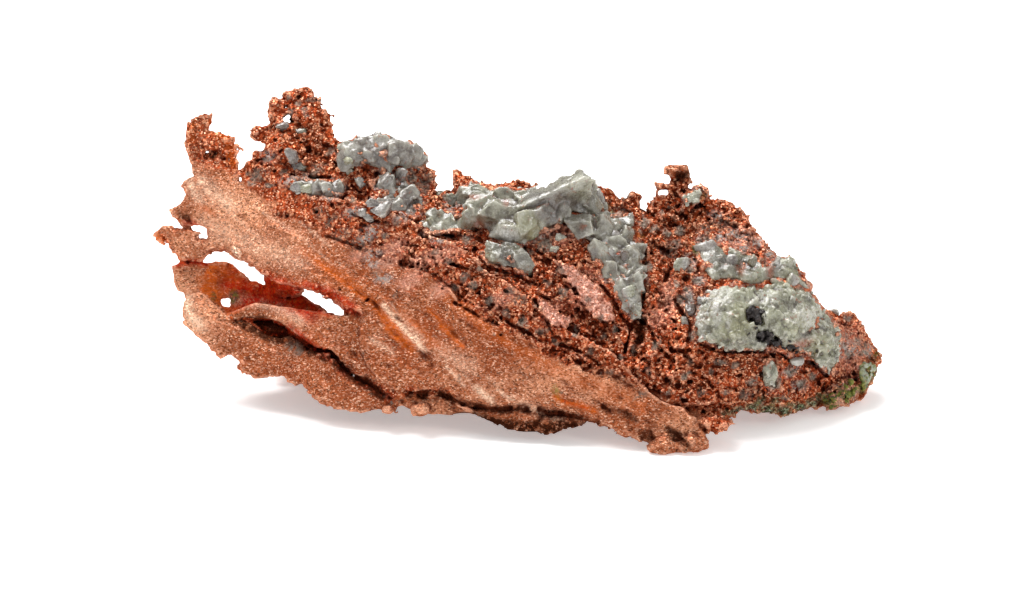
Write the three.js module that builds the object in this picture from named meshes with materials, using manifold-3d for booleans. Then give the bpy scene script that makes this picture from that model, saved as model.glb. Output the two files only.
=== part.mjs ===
// Native copper specimen: thin leaves of sheet copper grown into a crumbly copper mass,
// with pale green-grey prehnite masses and green crusts seated in it.
// Units are millimetres. The outlines are drawn in the plane of the specimen's broad face, u to the
// right and v up, and depths run from the face towards the back. The finished part is +Z up.
import * as THREE from "three";
import { mergeVertices } from "three/addons/utils/BufferGeometryUtils.js";
import Module from "manifold-3d";

const BASE_Z = 0; // height of the resting plane before the part is set on it
const SHIFT_X = -0.01; // moves the origin to the middle of the bounding box
const SHIFT_Y = -27.34;

const UPPER_LEAF = [
  [-53.9, 54.3], [-53.6, 55.6], [-51, 56], [-51, 53.8], [-48.3, 52.5], [-47, 53], [-44.1, 48.9], [-42.1, 47.6], [-35.8, 45.6], [-30.9, 42.8],
  [-24.3, 41.2], [-16.1, 37.9], [-7.9, 33], [8.5, 20.6], [15.1, 17.3], [22.5, 9.6], [27.1, 7.8], [30.1, 4.5], [31.2, 1.9], [30.9, 1.1],
  [28.3, 0.1], [24.2, 0.1], [22.5, 0.6], [20.9, 2.2], [12.7, 5.5], [4.9, 3.5], [-2.1, 4.2], [-14.5, 10.4], [-19.4, 10.1], [-23.3, 12.7],
  [-24.7, 14.7], [-26, 17.3], [-25.8, 22.9], [-27.1, 23.8], [-28.8, 24.1], [-32.9, 27], [-39.5, 28.4], [-44.9, 31.8], [-47, 32.3], [-48, 33.6],
  [-50.6, 33.3], [-52.1, 31.8], [-55.9, 32.3], [-58.4, 36.1], [-59, 36.4], [-58.4, 35.1], [-59.2, 34.9], [-60, 36.4], [-58.5, 38.1], [-52.4, 36.9],
  [-51.9, 36.4], [-53.1, 35.8], [-51.5, 35.8], [-51.6, 37.4], [-55.9, 37.9], [-57.5, 40.2], [-55.1, 42.3], [-54.7, 43.2], [-55.6, 44.5], [-55.1, 45.3],
  [-53.4, 45.8], [-54.9, 51],
];

const UPPER_LEAF_HOLES = [[[-46.2, 49.4], [-45, 49.6], [-44.7, 48.6], [-45.2, 47.8], [-46, 48.1]]];

const LOWER_LEAF = [
  [-47, 22.1], [-44.9, 22.4], [-41.6, 20], [-39.1, 19.5], [-37.5, 20], [-33.9, 17.2], [-30.6, 16.7], [-27.3, 13.1], [-25, 12.7], [-21, 9.5],
  [-16.1, 10.3], [-12.8, 9.8], [-3, 5.8], [4.9, 3.9], [-2.1, 4.2], [-5.4, 6.2], [-11.2, 6.3], [-15.5, 5.3], [-17.1, 6.2], [-16.9, 7.3],
  [-19.2, 8.1], [-21.4, 6.5], [-22.8, 7.6], [-25, 6.5], [-32.5, 8.5], [-35.3, 11.8], [-36.5, 11.6], [-38.6, 13.1], [-43.2, 12.6], [-45.7, 14.1],
  [-46.2, 14.7], [-45.7, 15.2], [-47.2, 16.4], [-49, 16], [-54.9, 21.5], [-55.2, 25.2], [-53.6, 26.7], [-51.9, 26.7],
];

const RIDGE_LEAF = [
  [-48, 23.4], [-43.2, 25.1], [-24, 22.3], [-19.4, 12.4], [-20.1, 10.4], [-24.3, 12.6], [-26.6, 12.7], [-28.3, 13.7], [-30.9, 17.2], [-34.8, 18.7],
  [-39.1, 21.8], [-40.8, 22.4], [-46.7, 22.1],
];

const BACK_LEAF = [
  [-57, 31.2], [-55.6, 31.8], [-51.1, 31.3], [-48.2, 31.8], [-47, 31.5], [-44.1, 28.5], [-42.1, 27.9], [-40.1, 28.8], [-39.1, 27.7], [-36.5, 26.9],
  [-30.6, 23.1], [-26, 18.2], [-27.6, 15.7], [-30.9, 16], [-40.8, 19], [-49.8, 20.6], [-53.1, 22.3], [-54.9, 24.7], [-54.9, 26.7], [-56.2, 27],
  [-56.9, 28.5],
];

const BACK_LEAF_HOLES = [[[-49.2, 25.4], [-47.7, 25.7], [-47.5, 24.4], [-48.3, 24.6]]];

const SPONGE = [
  [-44.7, 48.6], [-43.6, 50.2], [-41.4, 50.9], [-44.5, 52.8], [-41.4, 54.7], [-40.9, 57.9], [-40.4, 58.6], [-38.6, 58.6], [-37.8, 60.1], [-35.8, 60.4],
  [-32.7, 58.6], [-30.7, 55.5], [-30.4, 52.4], [-29.3, 51.5], [-22.7, 52.7], [-17.3, 51], [-15.8, 49.7], [-15.1, 47.8], [-13.6, 46.8], [-13.6, 45.1],
  [-13, 44.6], [-13.8, 43.2], [-13.3, 42.7], [-12.3, 43.6], [-10.8, 43.6], [-10.7, 46.8], [-10, 47.1], [-6.6, 45], [-3.5, 44.6], [0, 45.3],
  [2, 44.8], [2.8, 43.2], [9.9, 46.1], [11.8, 44.8], [15.6, 43.8], [16.8, 42.2], [17.9, 43], [19.6, 42.8], [20.9, 40.7], [22.5, 42.8],
  [23.7, 42.7], [29.1, 44.6], [30.7, 44], [31.9, 42.3], [34.2, 42.2], [37.2, 40.5], [41.1, 34.4], [43.1, 32.5], [44.9, 32.6], [48, 28],
  [48, 27], [50.3, 24.4], [52.9, 23.3], [54.6, 23.8], [55.7, 23.1], [60, 16], [57, 9.5], [56.2, 9], [43.6, 6.2], [36.5, 7.2],
  [33.5, 4.2], [30.4, 3.5], [28.3, 4.5], [18.4, 5], [13.5, 6.7], [0.3, 8.3], [-16.9, 12.7], [-20.2, 15.7], [-23.5, 20.6], [-27.6, 29.7],
  [-35.8, 37.9], [-42.7, 43.6], [-44.4, 46.1],
];

const SPONGE_HOLES = [[[-38.6, 55.8], [-37.6, 56], [-37.5, 55], [-38.3, 54.7]]];

const HORN = [
  [28.3, 43.6], [28.6, 45.3], [27.8, 47.8], [24.2, 47.6], [23.8, 46.4], [25.3, 44.6], [22.5, 45], [22.8, 43.6], [22, 41.5], [23.3, 40.4],
  [26.6, 40.4], [29.1, 42],
];

const HORN_HOLES = [[[23.2, 43.3], [23.7, 43.6], [24.7, 43.6], [24.8, 43.2], [24.2, 42.8], [23.3, 42.8]]];

const SPONGE_FRONT = [
  [-44.1, 46.9, 21], [-39.9, 53.5, 23], [-35.8, 58.4, 25], [-35.8, 50.2, 19], [-30.9, 53.5, 24], [-37.5, 43.6, 17], [-27.6, 50.2, 21],
  [-19.4, 50.2, 23], [-15.3, 47.8, 25], [-22.7, 42, 14], [-30.9, 39.5, 13], [-35.8, 42, 15], [-16.1, 37.1, 11], [-11.2, 42, 19],
  [-7.9, 45.3, 26], [-3, 42, 17], [-3, 37.1, 12], [3.6, 42, 14], [9.9, 44.5, 17], [13.5, 42, 21], [18.4, 41.2, 24],
  [6.9, 35.4, 8.5], [0.3, 27.2, 5], [-11.2, 30.5, 8.5], [-19.4, 32.1, 9.5], [6.9, 25.6, 4], [13.5, 27.2, 5], [16.8, 32.1, 9],
  [20.1, 28, 12], [18.7, 20.6, 8], [20.9, 35.4, 16], [20.9, 40.4, 24], [24.2, 40.4, 20], [25.8, 46.1, 22], [29.9, 42, 21],
  [36.5, 38.7, 23], [29.9, 33.8, 13], [26.6, 25.6, 6], [23.3, 17.3, 3.5], [20.1, 10.8, 2.5], [31.6, 25.6, 6.5], [39.8, 22.3, 5],
  [36.5, 32.1, 13], [43.1, 30.5, 19], [46.4, 25.6, 13], [50.5, 20.6, 14], [56.2, 20.6, 24], [59.2, 16, 28], [52.9, 14.1, 16],
  [46.4, 12.4, 9], [38.1, 12.4, 4.5], [29.9, 12.4, 2], [39.8, 7.8, 7], [49.6, 8.3, 13], [57, 9.9, 25], [29.9, 5, 2],
  [34.8, 5.8, 4.5], [-6.2, 20.6, 6], [-16.1, 19, 8.5], [-22.7, 20.6, 11], [6.9, 14.1, 3.5], [16.8, 9.1, 2.5], [-3, 9.1, 5],
  [-12.8, 12.4, 7.5],
];

const SPONGE_BACK = [
  [-44.1, 48.6, 27], [-35.8, 58.4, 31], [-35.8, 50.2, 34], [-30.9, 43.6, 38], [-35.8, 42, 33], [-22.7, 50.2, 33], [-19.4, 42, 42],
  [-16.1, 46.9, 34], [-26, 35.4, 40], [-19.4, 25.6, 44], [-12.8, 42, 36], [-7.9, 43.6, 34], [-9.5, 32.1, 48], [0.3, 42, 38],
  [0.3, 32.1, 49], [0.3, 20.6, 47], [10.2, 43.6, 34], [13.5, 35.4, 46], [13.5, 22.3, 47], [20.1, 38.7, 38], [23.3, 28.8, 45],
  [28.3, 42, 33], [29.9, 32.1, 44], [29.9, 20.6, 45], [38.1, 37.1, 34], [39.8, 25.6, 43], [39.8, 15.7, 42], [46.4, 28.8, 34],
  [49.6, 20.6, 38], [56.2, 19, 35], [59.2, 16, 33], [52.9, 10.8, 33], [46.4, 9.1, 36], [29.9, 9.1, 40], [13.5, 9.1, 44],
  [-3, 9.1, 45], [-14.5, 14.1, 42], [-21, 19, 40],
];

const UPPER_FRONT = [
  [-58.8, 37.1, 30], [-53.9, 53.5, 29], [-52.3, 48.6, 27], [-47.3, 51, 25], [-45.7, 46.1, 22], [-53.9, 42, 26], [-53.9, 33.8, 27],
  [-44.1, 42, 19.5], [-44.1, 33.8, 20], [-35.8, 40.4, 15.5], [-35.8, 32.1, 15], [-27.6, 35.4, 12], [-27.6, 27.2, 12.5], [-24.3, 20.6, 10.5],
  [-19.4, 28.8, 9.5], [-19.4, 19, 8.5], [-16.1, 12.4, 8.5], [-11.2, 22.3, 7], [-11.2, 14.1, 6.3], [-11.2, 9.1, 7.5], [-3, 19, 4.8],
  [-3, 12.4, 4], [-3, 7.5, 6], [5.3, 15.7, 3], [5.3, 9.1, 3], [5.3, 5, 5.5], [13.5, 14.1, 2.2], [13.5, 9.1, 1.8],
  [13.5, 5.5, 3.5], [21.7, 8.3, 1.2], [21.7, 2.5, 0.6], [28.3, 2.5, 0.3], [25, 0.6, 1.2], [-19.4, 42, 12], [-6.2, 32.1, 7],
  [6.9, 22.3, 4],
];

const LOWER_FRONT = [
  [-53.9, 23.9, 24], [-49, 20.6, 20.5], [-42.4, 17.3, 17], [-35.8, 14.9, 13.5], [-29.3, 10.8, 10.5], [-22.7, 9.1, 9], [-14.5, 7.5, 8],
  [-3, 5, 7.5], [-49, 17.3, 22.5], [-42.4, 13.7, 19], [-30.9, 9.1, 12.5], [-44.1, 21.5, 18.5], [3.6, 4.2, 7.5],
];

const RIDGE_FRONT = [
  [-49, 23.1, 22.5], [-44.1, 24.2, 18.3], [-44.1, 22.6, 19.5], [-35.8, 23.1, 14.2], [-35.8, 19.8, 15.2], [-27.6, 21.5, 11.2], [-27.6, 14.9, 12.2],
  [-22.7, 17.3, 10], [-20.2, 11.6, 9.5],
];

const WALL_FRONT = [
  [-55.6, 28.8, 27], [-52.3, 28.8, 27], [-49, 28.8, 25.5], [-42.4, 27.2, 23.5], [-35.8, 25.1, 19.8], [-30.9, 22.6, 16], [-26, 18.2, 14.5],
  [-44.1, 20.6, 24], [-50.6, 23.9, 26],
];

// Mineral masses: outline, how far each stands proud of the copper, how deep it is seated.
const MINERALS = [
  { name: "prehnite_crown", proud: 2, seat: 5, outline: [[-27.3, 51.4], [-24, 52.2], [-21, 51.9], [-17.4, 50.7], [-15.5, 48.6], [-16.1, 47.6], [-17.8, 48.2], [-22.7, 47.3], [-25.6, 48.6], [-28.6, 48.4], [-29.1, 49.2], [-28.6, 50.4]] },
  { name: "prehnite_crown_lower", proud: 1.2, seat: 4, outline: [[-23.7, 44.3], [-22, 45.3], [-17.1, 43.3], [-15.9, 41.7], [-16.3, 39.7], [-17.8, 39], [-19.4, 40.4], [-20.7, 39.7], [-22.4, 40.4], [-23.7, 41.7]] },
  { name: "prehnite_ridge", proud: 2.6, seat: 6, outline: [[-9.7, 42.2], [-9, 43.5], [-7.6, 44], [1.6, 42.8], [9.5, 45.9], [11.2, 45.3], [12.2, 42.3], [13.5, 41], [13.3, 40.2], [12.2, 39.7], [8.9, 40.2], [2, 35.4], [-0.5, 34.9], [-3, 35.4], [-6.2, 38.4], [-7.6, 38.4], [-9, 37.1], [-14.5, 36.6], [-15.5, 35.9], [-16.1, 36.7], [-12.8, 40.5], [-9.9, 39], [-9.2, 40.4]] },
  { name: "prehnite_wedge", proud: 1.2, seat: 5, outline: [[-5.4, 33.8], [-3, 34.4], [0, 33.9], [1.6, 30.2], [-3.8, 31.8], [-5.3, 32.6]] },
  { name: "prehnite_vein", proud: 1.8, seat: 5, outline: [[8.9, 38.2], [10.2, 39.2], [11.7, 38.4], [12.8, 38.5], [13.6, 39.7], [15.3, 39], [18.7, 39.2], [17.4, 36.1], [20.1, 33.8], [20.1, 31.8], [19.1, 30.8], [20.4, 29.3], [19.6, 23.1], [17.1, 25.9], [16.3, 27.9], [14.3, 29.5], [12.7, 33.8], [11.5, 35.4], [9.2, 36.9]] },
  { name: "prehnite_shelf", proud: 1.6, seat: 5, outline: [[30.1, 33.9], [31.2, 34.9], [36.2, 32.8], [37.6, 32.8], [39.3, 31.8], [40.8, 29.8], [42.2, 31.8], [43.6, 32.1], [47.7, 27.5], [42.4, 29.5], [41.1, 28.4], [39, 28.2], [36.8, 29], [32.2, 29.3], [30.6, 30.7], [29.9, 32.1]] },
  { name: "prehnite_nodule", proud: 3.2, seat: 7, outline: [[29.6, 22.3], [30.4, 25.2], [32.1, 26.9], [34.2, 27.4], [40.1, 27], [43.4, 28.4], [47.3, 26.4], [52.9, 20], [51.5, 14.1], [47.7, 16.8], [40.8, 18.2], [38.5, 17.7], [34.5, 18], [31.2, 19.5], [30.1, 19.3]] },
  { name: "prehnite_tower_crystals", proud: 1.6, seat: 3.5, outline: [[-37.2, 44.3], [-35.8, 45.1], [-30.9, 44.6], [-29.3, 45.1], [-28.9, 44], [-29.8, 43], [-32.9, 42.5]] },
  { name: "prehnite_foot", proud: 1, seat: 3.5, outline: [[40.4, 15.2], [41.4, 15.7], [42.2, 14.4], [42.4, 11.1], [41.4, 11.8]] },
  { name: "prehnite_cap_right", proud: 1.2, seat: 3, outline: [[27.3, 42.3], [29.9, 43.8], [30.9, 43.2], [27.6, 40.8]] },
  { name: "green_crust_foot", proud: 1, seat: 2.5, outline: [[51, 9.8], [53.3, 11.4], [54.6, 11.8], [55.7, 11.1], [55.1, 9.9], [52.6, 8.5], [51.3, 8.6]] },
  { name: "green_crust_edge", proud: 0.9, seat: 2.2, outline: [[56.5, 13.7], [57.2, 14.9], [58, 14.7], [58.2, 13.4], [56.9, 11.4]] },
  { name: "prehnite_back_upper", proud: 2.2, seat: 5, behind: true, outline: [[-3.2, 31.5], [0.5, 34.1], [5.2, 34.8], [9.1, 33.2], [13.4, 34], [17.2, 31.2], [18.1, 27.4], [14.8, 24.2], [10.2, 23.1], [6.4, 24.6], [2.1, 23.4], [-1.8, 25.3], [-4.4, 28.1]] },
  { name: "prehnite_back_lower", proud: 1.6, seat: 4.5, behind: true, outline: [[24.2, 24.6], [28.1, 26.9], [32.6, 25.8], [35.2, 22.4], [33.9, 18.7], [30.1, 17.2], [26.2, 18.3], [23.4, 21.1]] },
  { name: "prehnite_back_left", proud: 1.4, seat: 4, behind: true, outline: [[-22.4, 33.6], [-18.1, 35.4], [-14.6, 33.1], [-14.1, 29.2], [-17.2, 26.4], [-21.3, 27.1], [-23.9, 30.2]] },
];
// Dark grains sunk in the big nodule.
const INCLUSIONS = [
  { name: "dark_inclusion_upper", host: "prehnite_nodule", outline: [[37.6, 24.1], [38.6, 24.4], [39.6, 23.9], [40.4, 22.9], [40.4, 21.8], [39.5, 21.1], [38.3, 21.5], [37.6, 22.6]] },
  { name: "dark_inclusion_middle", host: "prehnite_nodule", outline: [[38.8, 20.1], [40.1, 20.6], [41.6, 20.3], [43.1, 19.6], [43.7, 18.7], [43.1, 17.8], [41.6, 17.8], [40.1, 18.3], [39.1, 19.2]] },
  { name: "dark_inclusion_lower", host: "prehnite_nodule", outline: [[44.2, 18], [45, 18.5], [45.9, 17.8], [45.9, 16.7], [44.7, 16.4], [44.1, 17]] },
];
// Lumps and knobs: u, v, depth, three half-sizes, facets, roughness, seed.
const LUMPS = [
  [-35.8, 18.2, 25, 11, 4.2, 6, 2, 0.2, 1],
  [-28.4, 17.3, 24, 9, 5.5, 8, 2, 0.2, 2],
  [-30.9, 17, 32, 10, 5, 7.5, 2, 0.22, 3],
  [-51.5, 55.5, 28.2, 1.4, 1.1, 1, 1, 0.1, 4],
  [-36.5, 59.1, 28, 4, 2.6, 3, 1, 0.2, 5],
  [-32.5, 55.2, 28, 2.6, 3.6, 3.2, 1, 0.2, 6],
  [-40.3, 57.5, 27, 1.8, 2.2, 1.6, 1, 0.2, 7],
  [-42.9, 52.8, 24.5, 1.7, 1.6, 1.4, 1, 0.2, 8],
  [-47.7, 51.9, 26, 1.6, 1, 1.2, 1, 0.1, 9],
  [-17.3, 48.6, 27, 3, 3.6, 4, 1, 0.2, 10],
  [-10, 45.6, 28, 1.2, 1.6, 1.6, 1, 0.2, 11],
  [18.6, 42.3, 25, 1.6, 1.2, 1.8, 1, 0.2, 12],
  [26, 46.9, 23, 2.2, 1, 1.8, 1, 0.15, 13],
  [32.5, 5.2, 3.4, 3.4, 1.6, 3.2, 1, 0.2, 14],
  [54.6, 21.5, 29, 3.2, 2.6, 4, 1, 0.2, 15],
  [28.3, 1.9, 1.6, 2.6, 1.6, 2.4, 1, 0.15, 16],
  [23.5, 1.6, 1.6, 2.6, 1.9, 2.2, 1, 0.15, 17],
  [-16.1, 7.5, 7.8, 1.8, 1.2, 1.6, 1, 0.1, 18],
  [-21.4, 7.5, 9, 1.2, 0.9, 1.2, 1, 0.1, 19],
];

const LEAN = (20 * Math.PI) / 180; // the broad face leans back this far from upright
const GRID = 6.2; // spacing of the relief grids, mm
const FINE = 3.9; // and of the mineral masses, mm
const SOFTEN = 6.5; // how far a relief point spreads, mm
const GAP = 0.35; // clearance between a mineral and its socket, mm
const COPPER = 0xb87352;
const wasm = await Module();
wasm.setup();

// Smooth noise from a lattice of hashed values, about -1 to 1.
function hash(x, y, z) {
  const n = Math.sin(x * 127.1 + y * 311.7 + z * 74.7) * 43758.5453;
  return 2 * (n - Math.floor(n)) - 1;
}
function noise(x, y, z) {
  const xi = Math.floor(x), yi = Math.floor(y), zi = Math.floor(z);
  const f = (t) => t * t * (3 - 2 * t);
  const u = f(x - xi), v = f(y - yi), w = f(z - zi);
  let sum = 0;
  for (let i = 0; i < 8; i++) {
    const a = i & 1, b = (i >> 1) & 1, c = i >> 2;
    sum += hash(xi + a, yi + b, zi + c) * (a ? u : 1 - u) * (b ? v : 1 - v) * (c ? w : 1 - w);
  }
  return sum;
}

// The depth of a surface at (u, v) from its scattered relief points.
function relief(points, spread = SOFTEN) {
  return (u, v) => {
    let sum = 0, weight = 0;
    for (const [pu, pv, depth] of points) {
      const g = Math.exp(-((u - pu) ** 2 + (v - pv) ** 2) / (2 * spread * spread)) + 1e-9 / (1 + (u - pu) ** 2 + (v - pv) ** 2);
      sum += g * depth;
      weight += g;
    }
    return sum / weight;
  };
}

// Distance inside an outline, negative outside it.
function inset(outline) {
  return (u, v) => {
    let best = 1e9, inside = false;
    for (let i = 0, j = outline.length - 1; i < outline.length; j = i++) {
      const [ax, ay] = outline[j], [bx, by] = outline[i];
      if (ay > v !== by > v && u < ((bx - ax) * (v - ay)) / (by - ay) + ax) inside = !inside;
      const dx = bx - ax, dy = by - ay;
      const t = Math.max(0, Math.min(1, ((u - ax) * dx + (v - ay) * dy) / (dx * dx + dy * dy || 1)));
      best = Math.min(best, Math.hypot(u - ax - t * dx, v - ay - t * dy));
    }
    return inside ? best : -best;
  };
}
// A quarter-round edge profile: 0 at the outline, 1 from radius inwards.
const round = (d, radius) => {
  const k = Math.max(0, Math.min(1, d / radius));
  return Math.sqrt(1 - (1 - k) ** 2);
};

const leaned = new THREE.Matrix4().makeRotationX(-LEAN);
function solid(geometry) {
  geometry.deleteAttribute("normal");
  geometry.deleteAttribute("uv");
  const g = mergeVertices(geometry, 1e-4);
  return new wasm.Manifold(
    new wasm.Mesh({
      numProp: 3,
      vertProperties: new Float32Array(g.attributes.position.array),
      triVerts: new Uint32Array(g.index.array),
    }),
  );
}

// An outline in the leaning face plane (u to the right, v up), cut right through, with a front and a back relief.
function slab(outline, holes, front, back, grid = GRID, extent = outline) {
  const us = extent.map((p) => p[0]), vs = extent.map((p) => p[1]);
  const u0 = Math.min(...us) - 1, u1 = Math.max(...us) + 1, v0 = Math.min(...vs) - 1, v1 = Math.max(...vs) + 1;
  const block = new THREE.BoxGeometry(u1 - u0, 1, v1 - v0, Math.ceil((u1 - u0) / grid), 1, Math.ceil((v1 - v0) / grid));
  const p = block.attributes.position;
  for (let i = 0; i < p.count; i++) {
    const u = p.getX(i) + (u0 + u1) / 2, v = p.getZ(i) + (v0 + v1) / 2;
    const f = front(u, v), b = back(u, v);
    p.setXYZ(i, u, p.getY(i) < 0 ? f : Math.max(b, f + 0.5), v);
  }
  // No three corners may lie on one line, or the triangulated caps would miss one.
  const corner = ([x, y]) => new THREE.Vector2(x + 0.03 * hash(x, y, 1), y + 0.03 * hash(x, y, 2));
  const turned = (points) => (THREE.ShapeUtils.isClockWise(points) ? points.reverse() : points);
  const shape = new THREE.Shape(turned(outline.map(corner)));
  for (const hole of holes) shape.holes.push(new THREE.Path(turned(hole.map(corner)).reverse()));
  const through = new THREE.ExtrudeGeometry(shape, { depth: 160, bevelEnabled: false, curveSegments: 1 });
  through.rotateX(Math.PI / 2).translate(0, 110, 0);
  return solid(block.applyMatrix4(leaned)).intersect(solid(through.applyMatrix4(leaned)));
}

// A rounded lump at (u, v) and depth w.
function lump(u, v, w, ru, rv, rw, detail = 3, rough = 0.18, seed = 0) {
  const g = new THREE.IcosahedronGeometry(1, detail);
  const p = g.attributes.position;
  for (let i = 0; i < p.count; i++) {
    const x = p.getX(i), y = p.getY(i), z = p.getZ(i);
    const k = 1 + rough * noise(x * 2 + seed, y * 2 + 5, z * 2);
    p.setXYZ(i, u + x * ru * k, w + y * rw * k, v + z * rv * k);
  }
  return solid(g.applyMatrix4(leaned));
}

// Outline grown by d, moving each corner along its own bisector.
function grown(outline, d) {
  const n = outline.length;
  let area = 0;
  for (let i = 0; i < n; i++) area += outline[i][0] * outline[(i + 1) % n][1] - outline[(i + 1) % n][0] * outline[i][1];
  const side = area > 0 ? 1 : -1;
  return outline.map(([x, y], i) => {
    const [ax, ay] = outline[(i + n - 1) % n], [bx, by] = outline[(i + 1) % n];
    let nx = by - ay, ny = ax - bx;
    const l = Math.hypot(nx, ny) || 1;
    return [x + (side * d * nx) / l, y + (side * d * ny) / l];
  });
}

const spongeFront = relief(SPONGE_FRONT), spongeBack = relief(SPONGE_BACK, 8);
const upperFront = relief(UPPER_FRONT, 6), lowerFront = relief(LOWER_FRONT, 5), ridgeFront = relief(RIDGE_FRONT, 4), wallFront = relief(WALL_FRONT, 5);

// Crumbly mass: thick, rounded towards its outline, lumpy.
const inSponge = inset(SPONGE), inUpper = inset(UPPER_LEAF);
const lumpy = (u, v, k) => 1.1 * noise(u / 6 + k, v / 6, k) + 0.5 * noise(u / 2.9, v / 2.9 + k, k);
const spongeFace = (u, v) => {
  const f = spongeFront(u, v);
  return inUpper(u, v) > 0.5 ? Math.max(f, upperFront(u, v) + 1.2) : f;
};
function spongeSlab() {
  const mid = (u, v) => {
    const f = spongeFace(u, v), b = spongeBack(u, v);
    return f + 0.3 * (b - f);
  };
  return slab(
    SPONGE, SPONGE_HOLES,
    (u, v) => mid(u, v) - 0.9 + (spongeFace(u, v) - mid(u, v) + 0.9 + 0.7 * lumpy(u, v, 3)) * round(inSponge(u, v) + 0.5, 4.5),
    (u, v) => mid(u, v) + 0.9 + (spongeBack(u, v) - mid(u, v) - 0.9 + 1.4 * lumpy(u, v, 11)) * round(inSponge(u, v) + 0.5, 15),
  );
}
// A leaf of sheet copper: thin, with a rounded free edge.
function leaf(outline, holes, front, thick) {
  const d = inset(outline);
  return slab(
    outline, holes,
    (u, v) => front(u, v) + 0.35 * noise(u / 5, v / 5, 2) + 0.5 * (1 - round(d(u, v) + 0.3, 1.6)),
    (u, v) => front(u, v) + thick(u, v) + 0.3 * noise(u / 4, v / 4, 9) - 0.35 * (1 - round(d(u, v) + 0.3, 1.6)),
  );
}
let copper = spongeSlab()
  .add(leaf(UPPER_LEAF, UPPER_LEAF_HOLES, upperFront, (u) => (u < -30 ? 1.7 : Math.min(4.5, 1.7 + (u + 30) * 0.12))))
  .add(leaf(LOWER_LEAF, [], lowerFront, () => 2.4))
  .add(leaf(RIDGE_LEAF, [], ridgeFront, () => 2.2))
  .add(leaf(BACK_LEAF, BACK_LEAF_HOLES, wallFront, () => 1.7))
  .add(slab(HORN, HORN_HOLES, () => 21.5, () => 24.8, 2));
for (const [u, v, w, ru, rv, rw, detail, rough, seed] of LUMPS) copper = copper.add(lump(u, v, w, ru, rv, rw, detail, rough, seed));

// Underside: a rough surface that comes down to the resting plane only at the feet, where it is level.
const FEET = [[26, 3, 10.5], [51, 26, 10], [16, 43, 9], [-32, 39, 9]]; // x, y, radius
const roughBase = (x, y) => {
  const away = Math.min(...FEET.map(([fx, fy, r]) => Math.max(0, Math.hypot(x - fx, y - fy) - r)));
  return BASE_Z + Math.min(1, away / 6) * Math.max(0.4, 1.9 + 1.9 * noise(x / 9, y / 9, 5));
};
const under = new THREE.BoxGeometry(160, 90, 40, 22, 12, 1).translate(0, 25, -20 + BASE_Z);
const underAt = under.attributes.position;
for (let i = 0; i < underAt.count; i++) {
  if (underAt.getZ(i) > BASE_Z - 1) underAt.setZ(i, roughBase(underAt.getX(i), underAt.getY(i)));
}
const ground = solid(under);
copper = copper.subtract(ground);

// Mineral masses seated in sockets.
const minerals = [];
for (const { name, proud, seat, outline, behind } of MINERALS) {
  const face = behind ? (u, v) => -(spongeBack(u, v)) : spongeFace;
  const d = inset(outline);
  const R = Math.min(3.2, proud + 1.4);
  const bumps = (u, v) => 0.5 * noise(u / 2.6, v / 2.6, 31);
  let body, socket;
  const wide = grown(outline, GAP);
  if (!behind) {
    body = slab(outline, [],
      (u, v) => face(u, v) + 0.5 - (proud + 0.5 + bumps(u, v)) * round(d(u, v), R),
      (u, v) => face(u, v) + 1.3 + (seat - 1.3) * round(d(u, v), 3), FINE, wide);
    socket = slab(wide, [],
      (u, v) => face(u, v) - 6,
      (u, v) => face(u, v) + 1.3 + GAP + 0.25 + (seat - 1.3) * round(d(u, v), 3), FINE);
  } else {
    const f = (u, v) => spongeBack(u, v);
    body = slab(outline, [],
      (u, v) => f(u, v) - 1.3 - (seat - 1.3) * round(d(u, v), 3),
      (u, v) => f(u, v) - 0.5 + (proud + 0.5 + bumps(u, v)) * round(d(u, v), R), FINE, wide);
    socket = slab(wide, [],
      (u, v) => f(u, v) - 1.3 - GAP - 0.25 - (seat - 1.3) * round(d(u, v), 3),
      (u, v) => f(u, v) + 6, FINE);
  }
  body = body.subtract(ground);
  copper = copper.subtract(socket);
  // Dark grains sunk in this mass, level with its surface.
  for (const grain of INCLUSIONS.filter((g) => g.host === name)) {
    const top = (u, v) => face(u, v) + 0.5 - (proud + 0.5 + bumps(u, v)) * round(d(u, v), R);
    const opening = grown(grain.outline, GAP), dg = inset(grain.outline);
    const bed = (u, v) => top(u, v) + 1 + 1.6 * round(dg(u, v), 1.5);
    const pit = slab(opening, [], (u, v) => top(u, v) - 4, (u, v) => bed(u, v) + GAP + 0.25, 2.2);
    body = body.subtract(pit);
    copper = copper.subtract(pit);
    minerals.push([grain.name, slab(grain.outline, [], (u, v) => top(u, v) + 0.2, bed, 2.2, opening)]);
  }
  minerals.push([name, body]);
}

// The biggest connected body, which drops any crumb cut free.
const whole = (s) => s.decompose().sort((a, b) => b.volume() - a.volume())[0];

const part = new THREE.Group();
function place(name, body, material) {
  const m = whole(body).getMesh();
  const g = new THREE.BufferGeometry();
  const n = m.numProp, count = m.vertProperties.length / n;
  const pos = new Float32Array(count * 3);
  for (let i = 0; i < count; i++) for (let k = 0; k < 3; k++) pos[3 * i + k] = m.vertProperties[n * i + k];
  g.setAttribute("position", new THREE.BufferAttribute(pos, 3));
  g.setIndex(new THREE.BufferAttribute(new Uint32Array(m.triVerts), 1));
  g.computeVertexNormals();
  g.computeBoundingBox();
  const c = g.boundingBox.getCenter(new THREE.Vector3());
  g.translate(-c.x, -c.y, -c.z);
  const mesh = new THREE.Mesh(g, material);
  mesh.name = name;
  mesh.position.copy(c);
  part.add(mesh);
}
const metal = new THREE.MeshStandardMaterial({ color: COPPER, roughness: 0.42, metalness: 1 });
const paleStone = new THREE.MeshStandardMaterial({ color: 0xa9b0a6, roughness: 0.45, metalness: 0 });
const darkStone = new THREE.MeshStandardMaterial({ color: 0x2b2724, roughness: 0.5, metalness: 0 });
const greenStone = new THREE.MeshStandardMaterial({ color: 0x6f7a3a, roughness: 0.7, metalness: 0 });
place("native_copper", copper, metal);
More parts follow.
